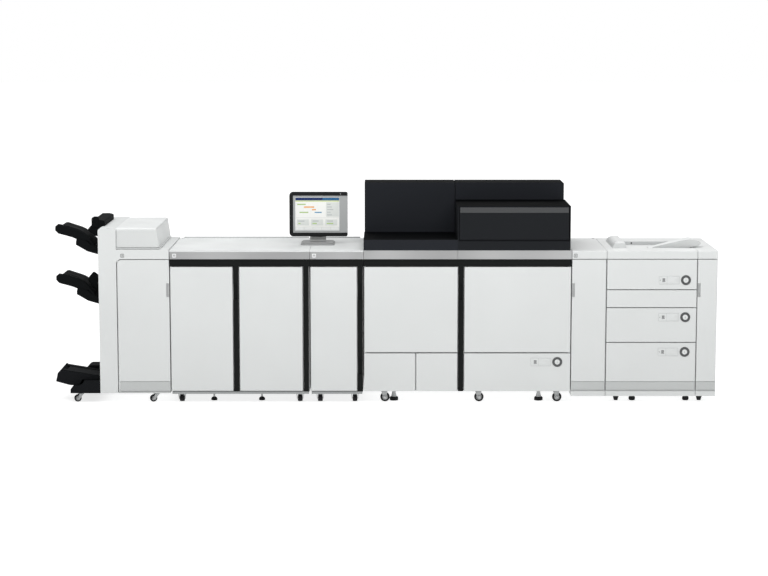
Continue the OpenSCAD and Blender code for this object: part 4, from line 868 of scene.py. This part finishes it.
class LINE_OT_cover_screws(bpy.types.Operator):
    """Add the screws that hold the rear covers: pan heads with a cross slot"""

    bl_idname = "line.cover_screws"
    bl_label = "Cover Screws"

    def execute(self, context):
        head = [(0, 0), (0.0042, 0), (0.0042, 0.0006), (0.0034, 0.0013), (0.0018, 0.0016), (0, 0.0016)]
        aside, ends, rows = 0.0047, 0.022, 4
        long, short = 0.0046, 0.0008
        screws, slots = Shell(), Shell()
        for cover in islands("rear_covers"):
            lo, hi = span(cover)
            flange = hi[1] - 0.003
            for x in (lo[0] + aside, hi[0] - aside):
                for z in np.linspace(lo[2] + ends, hi[2] - ends, rows):
                    screws.turned(head, (x, flange, z), "rear", steps=16)
                    for w, h in ((long, short), (short, long)):
                        slots.slab(w, h, 0.0002, 0.0003, (x, flange + 0.0014, z), "rear", soft=0.0001)
        screws.finish("cover_screws", "line", "caster_metal", FINISH["screw_zinc"])
        slots.finish("cover_screw_slots", "line", "band_black", FINISH["band_black"])
        return {"FINISHED"}


class LINE_OT_door_liners(bpy.types.Operator):
    """Add the liner, the stiffening beads and the catch plates inside every door"""

    bl_idname = "line.door_liners"
    bl_label = "Door Liners"

    def execute(self, context):
        doors = ("finisher_door", "fuser_door_left", "fuser_door_right", "bridge_door", "engine_door_left",
                 "engine_door_right", "deck_door_left", "deck_door_right")
        inner = FRONT + 0.018
        for door in doors:
            lo, hi = low(door), high(door)
            lo[2] = max(lo[2], low("base_rails")[2])
            x, _, z = (lo + hi) / 2
            w, h = hi[0] - lo[0] - 0.07, hi[2] - lo[2] - 0.09
            liner, plates = Shell(), Shell()
            liner.slab(w, h, 0.012, 0.0008, (x, inner, z), "rear", soft=0.0005, steps=6)
            for k in (-1, 0, 1):
                liner.slab(w - 0.05, 0.010, 0.0045, 0.0016, (x, inner, z + k * h * 0.3), "rear", soft=0.001)
            for k in (-1, 1):
                plates.slab(0.030, 0.016, 0.002, 0.0016, (x, inner, z + k * (h / 2 + 0.016)), "rear",
                            soft=0.0005)
            liner.finish(f"door_liner_{door}", door, "inner_grey", FINISH["liner_white"])
            plates.finish(f"catch_plates_{door}", door, "caster_metal", FINISH["screw_zinc"])
        return {"FINISHED"}


class LINE_OT_toner_caps(bpy.types.Operator):
    """Add the caps and colour rings on the toner containers"""

    bl_idname = "line.toner_caps"
    bl_label = "Toner Caps"

    def execute(self, context):
        black, cyan = (0.012, 0.012, 0.013), (0.0, 0.30, 0.62)
        magenta, yellow = (0.62, 0.02, 0.22), (0.85, 0.66, 0.02)
        cap = [(0, 0), (0.034, 0), (0.0345, 0.004), (0.033, 0.006), (0.026, 0.0062), (0.0245, 0.003),
               (0.012, 0.003), (0.011, 0.008), (0, 0.0085)]
        order = sorted(islands("toner_containers"), key=lambda part: part[:, 0].min())
        caps, rings = Shell(), Shell()
        for part, tone in zip(order, (black, black, cyan, cyan, magenta, yellow)):
            lo, hi = span(part)
            at = ((lo[0] + hi[0]) / 2, lo[1], (lo[2] + hi[2]) / 2)
            caps.turned(cap, at, steps=48)
            caps.slab(0.040, 0.008, 0.003, 0.007, at, soft=0.0015)
            rings.band(circle_outline(0.0415, 48), 0.005, 0.0012, at, tone)
        caps.finish("toner_caps", "line", "container_black", FINISH["container_black"])
        rings.finish("toner_rings", "line", "container_black", FINISH["sign_ink"])
        return {"FINISHED"}


# ---------------------------------------------------------------- stage


class StageSettings(bpy.types.PropertyGroup):
    """Floor, lights and camera."""

    floor: colour_setting("Floor", "Colour of the floor", (0.50, 0.50, 0.50))
    floor_glow: FloatProperty(name="Floor glow", description="Light that the floor gives off by itself",
                              default=0.72, min=0, max=2)
    sky: FloatProperty(name="Sky", description="Strength of the light from all round",
                       default=1.25, min=0, max=5)
    key: FloatProperty(name="Key light", description="Power of the large light above the operator",
                       default=130.0, min=0, max=5000, subtype="POWER", unit="POWER")
    camera_side: FloatProperty(name="Camera side", description="How far right of the middle it stands",
                               default=-0.0078, min=-2, max=2, unit="LENGTH")
    camera_height: FloatProperty(name="Camera height", description="Height of the camera above the floor",
                                 default=2.6513, min=0.5, max=6, unit="LENGTH")
    camera_distance: FloatProperty(name="Camera distance",
                                   description="From the middle of the line to the camera",
                                   default=14.3, min=5, max=40, unit="LENGTH")
    camera_pitch: FloatProperty(name="Camera pitch", description="How far the camera looks down",
                                default=math.radians(7.642), min=0, max=1.2, unit="ROTATION")
    lens: FloatProperty(name="Lens", description="Focal length of the camera in millimetres",
                        default=97.68, min=20, max=200)


class LINE_OT_stage(bpy.types.Operator):
    """Set up the floor, the studio light and the camera"""

    bl_idname = "line.stage"
    bl_label = "Stage"

    def execute(self, context):
        scene, s = context.scene, context.scene.line_stage
        scene.view_settings.view_transform = "Standard"
        scene.view_settings.look = "None"
        self.floor(scene, s.floor, s.floor_glow)
        self.sky(scene, s.sky)
        width, height = 8.0, 1.6
        self.light(scene, "key_light", (0.1, -3.4, 4.3), (0, -0.4, 0.8), width, height, s.key)
        self.light(scene, "rear_light", (0.4, 4.2, 4.4), (0, 0.4, 0.8), width, height, s.key * 0.5)
        camera = bpy.data.cameras.new("camera")
        camera.lens = s.lens
        camera.sensor_width = 36.0
        camera.clip_end = 200.0
        eye = bpy.data.objects.new("camera", camera)
        eye.location = (s.camera_side, -s.camera_distance, s.camera_height)
        eye.rotation_euler = (math.pi / 2 - s.camera_pitch, 0, 0)
        scene.collection.objects.link(eye)
        scene.camera = eye
        return {"FINISHED"}

    def floor(self, scene, colour, glow):
        """A wide square floor that gives off a little light by itself."""
        paint = Finish("floor_paint", colour, 0.6, specular=0.1)
        paint.varied(0.7, 0.01)
        paint.set("Emission Color", (1, 1, 1, 1))
        paint.set("Emission Strength", glow)
        reach = 60.0
        corners = [(x * reach, y * reach, 0) for x, y in ((-1, -1), (1, -1), (1, 1), (-1, 1))]
        mesh = bpy.data.meshes.new("floor")
        mesh.from_pydata(corners, [], [(0, 1, 2, 3)])
        mesh.materials.append(paint.material)
        floor = bpy.data.objects.new("floor", mesh)
        scene.collection.objects.link(floor)

    def light(self, scene, name, place, aim, width, height, power):
        """A soft rectangular light at a place, turned to face an aim point: its axes are
        the direction away from the aim, the level direction across it, and their product."""
        lamp = bpy.data.lights.new(name, "AREA")
        lamp.shape = "RECTANGLE"
        lamp.size, lamp.size_y = width, height
        lamp.energy = power
        ahead = np.array(aim, float) - np.array(place, float)
        ahead /= np.linalg.norm(ahead)
        side = np.cross(ahead, (0, 0, 1))
        side /= np.linalg.norm(side)
        turn = np.eye(4)
        turn[:3] = np.column_stack([side, np.cross(side, ahead), -ahead, place])
        body = bpy.data.objects.new(name, lamp)
        body.matrix_world = Matrix(turn.tolist())
        body.visible_camera = False
        scene.collection.objects.link(body)

    def sky(self, scene, strength):
        """White to the eye, and for the light a soft dome over a dark rim."""
        world = bpy.data.worlds.new("studio")
        scene.world = world
        world.use_nodes = True
        tree = world.node_tree
        tree.nodes.clear()
        place = tree.nodes.new("ShaderNodeTexCoord")
        split = tree.nodes.new("ShaderNodeSeparateXYZ")
        ramp = tree.nodes.new("ShaderNodeValToRGB")
        fill_ramp(ramp, [(position, (level, level * 1.003, level * 1.006))
                         for position, level in ((0.24, 0.02), (0.45, 0.6), (0.8, 1.0))])
        dome = tree.nodes.new("ShaderNodeBackground")
        dome.inputs["Strength"].default_value = strength
        plain = tree.nodes.new("ShaderNodeBackground")
        plain.inputs["Color"].default_value = (1, 1, 1, 1)
        path = tree.nodes.new("ShaderNodeLightPath")
        mix = tree.nodes.new("ShaderNodeMixShader")
        out = tree.nodes.new("ShaderNodeOutputWorld")
        link = tree.links.new
        link(place.outputs["Generated"], split.inputs[0])
        link(split.outputs["Z"], ramp.inputs[0])
        link(ramp.outputs[0], dome.inputs["Color"])
        link(path.outputs["Is Camera Ray"], mix.inputs[0])
        link(dome.outputs[0], mix.inputs[1])
        link(plain.outputs[0], mix.inputs[2])
        link(mix.outputs[0], out.inputs[0])


class LINE_PT_panel(bpy.types.Panel):
    """Lists the line's pieces in the 3D view's sidebar."""

    bl_idname = "LINE_PT_panel"
    bl_label = "Printing Line"
    bl_space_type = "VIEW_3D"
    bl_region_type = "UI"
    bl_category = "Printing Line"

    def draw(self, context):
        for operator in OPERATORS:
            self.layout.operator(operator.bl_idname)
        for group in SETTINGS:
            box = self.layout.box()
            values = getattr(context.scene, group)
            for name in values.__annotations__:
                box.prop(values, name)


SETTINGS = {"line_finish": FinishSettings, "line_plate": PlateSettings, "line_stage": StageSettings}
OPERATORS = [
    LINE_OT_finishes, LINE_OT_label_plates, LINE_OT_status_signs, LINE_OT_screen_picture,
    LINE_OT_console_trim, LINE_OT_worktop_fittings, LINE_OT_cover_seams, LINE_OT_exit_rollers,
    LINE_OT_foot_fittings, LINE_OT_caster_fittings, LINE_OT_tower_louvres, LINE_OT_cover_screws,
    LINE_OT_door_liners, LINE_OT_toner_caps, LINE_OT_stage,
]


def register():
    """Registers every class and hangs the settings on the scene."""
    for cls in [*SETTINGS.values(), *OPERATORS, LINE_PT_panel]:
        bpy.utils.register_class(cls)
    for name, cls in SETTINGS.items():
        setattr(bpy.types.Scene, name, PointerProperty(type=cls))


def unregister():
    """Takes the settings and the classes away again."""
    for name in SETTINGS:
        delattr(bpy.types.Scene, name)
    for cls in reversed([*SETTINGS.values(), *OPERATORS, LINE_PT_panel]):
        bpy.utils.unregister_class(cls)


def main():
    """Builds every piece in order."""
    register()
    for operator in OPERATORS:
        getattr(bpy.ops.line, operator.bl_idname.split(".")[1])()


if __name__ == "__main__":
    main()
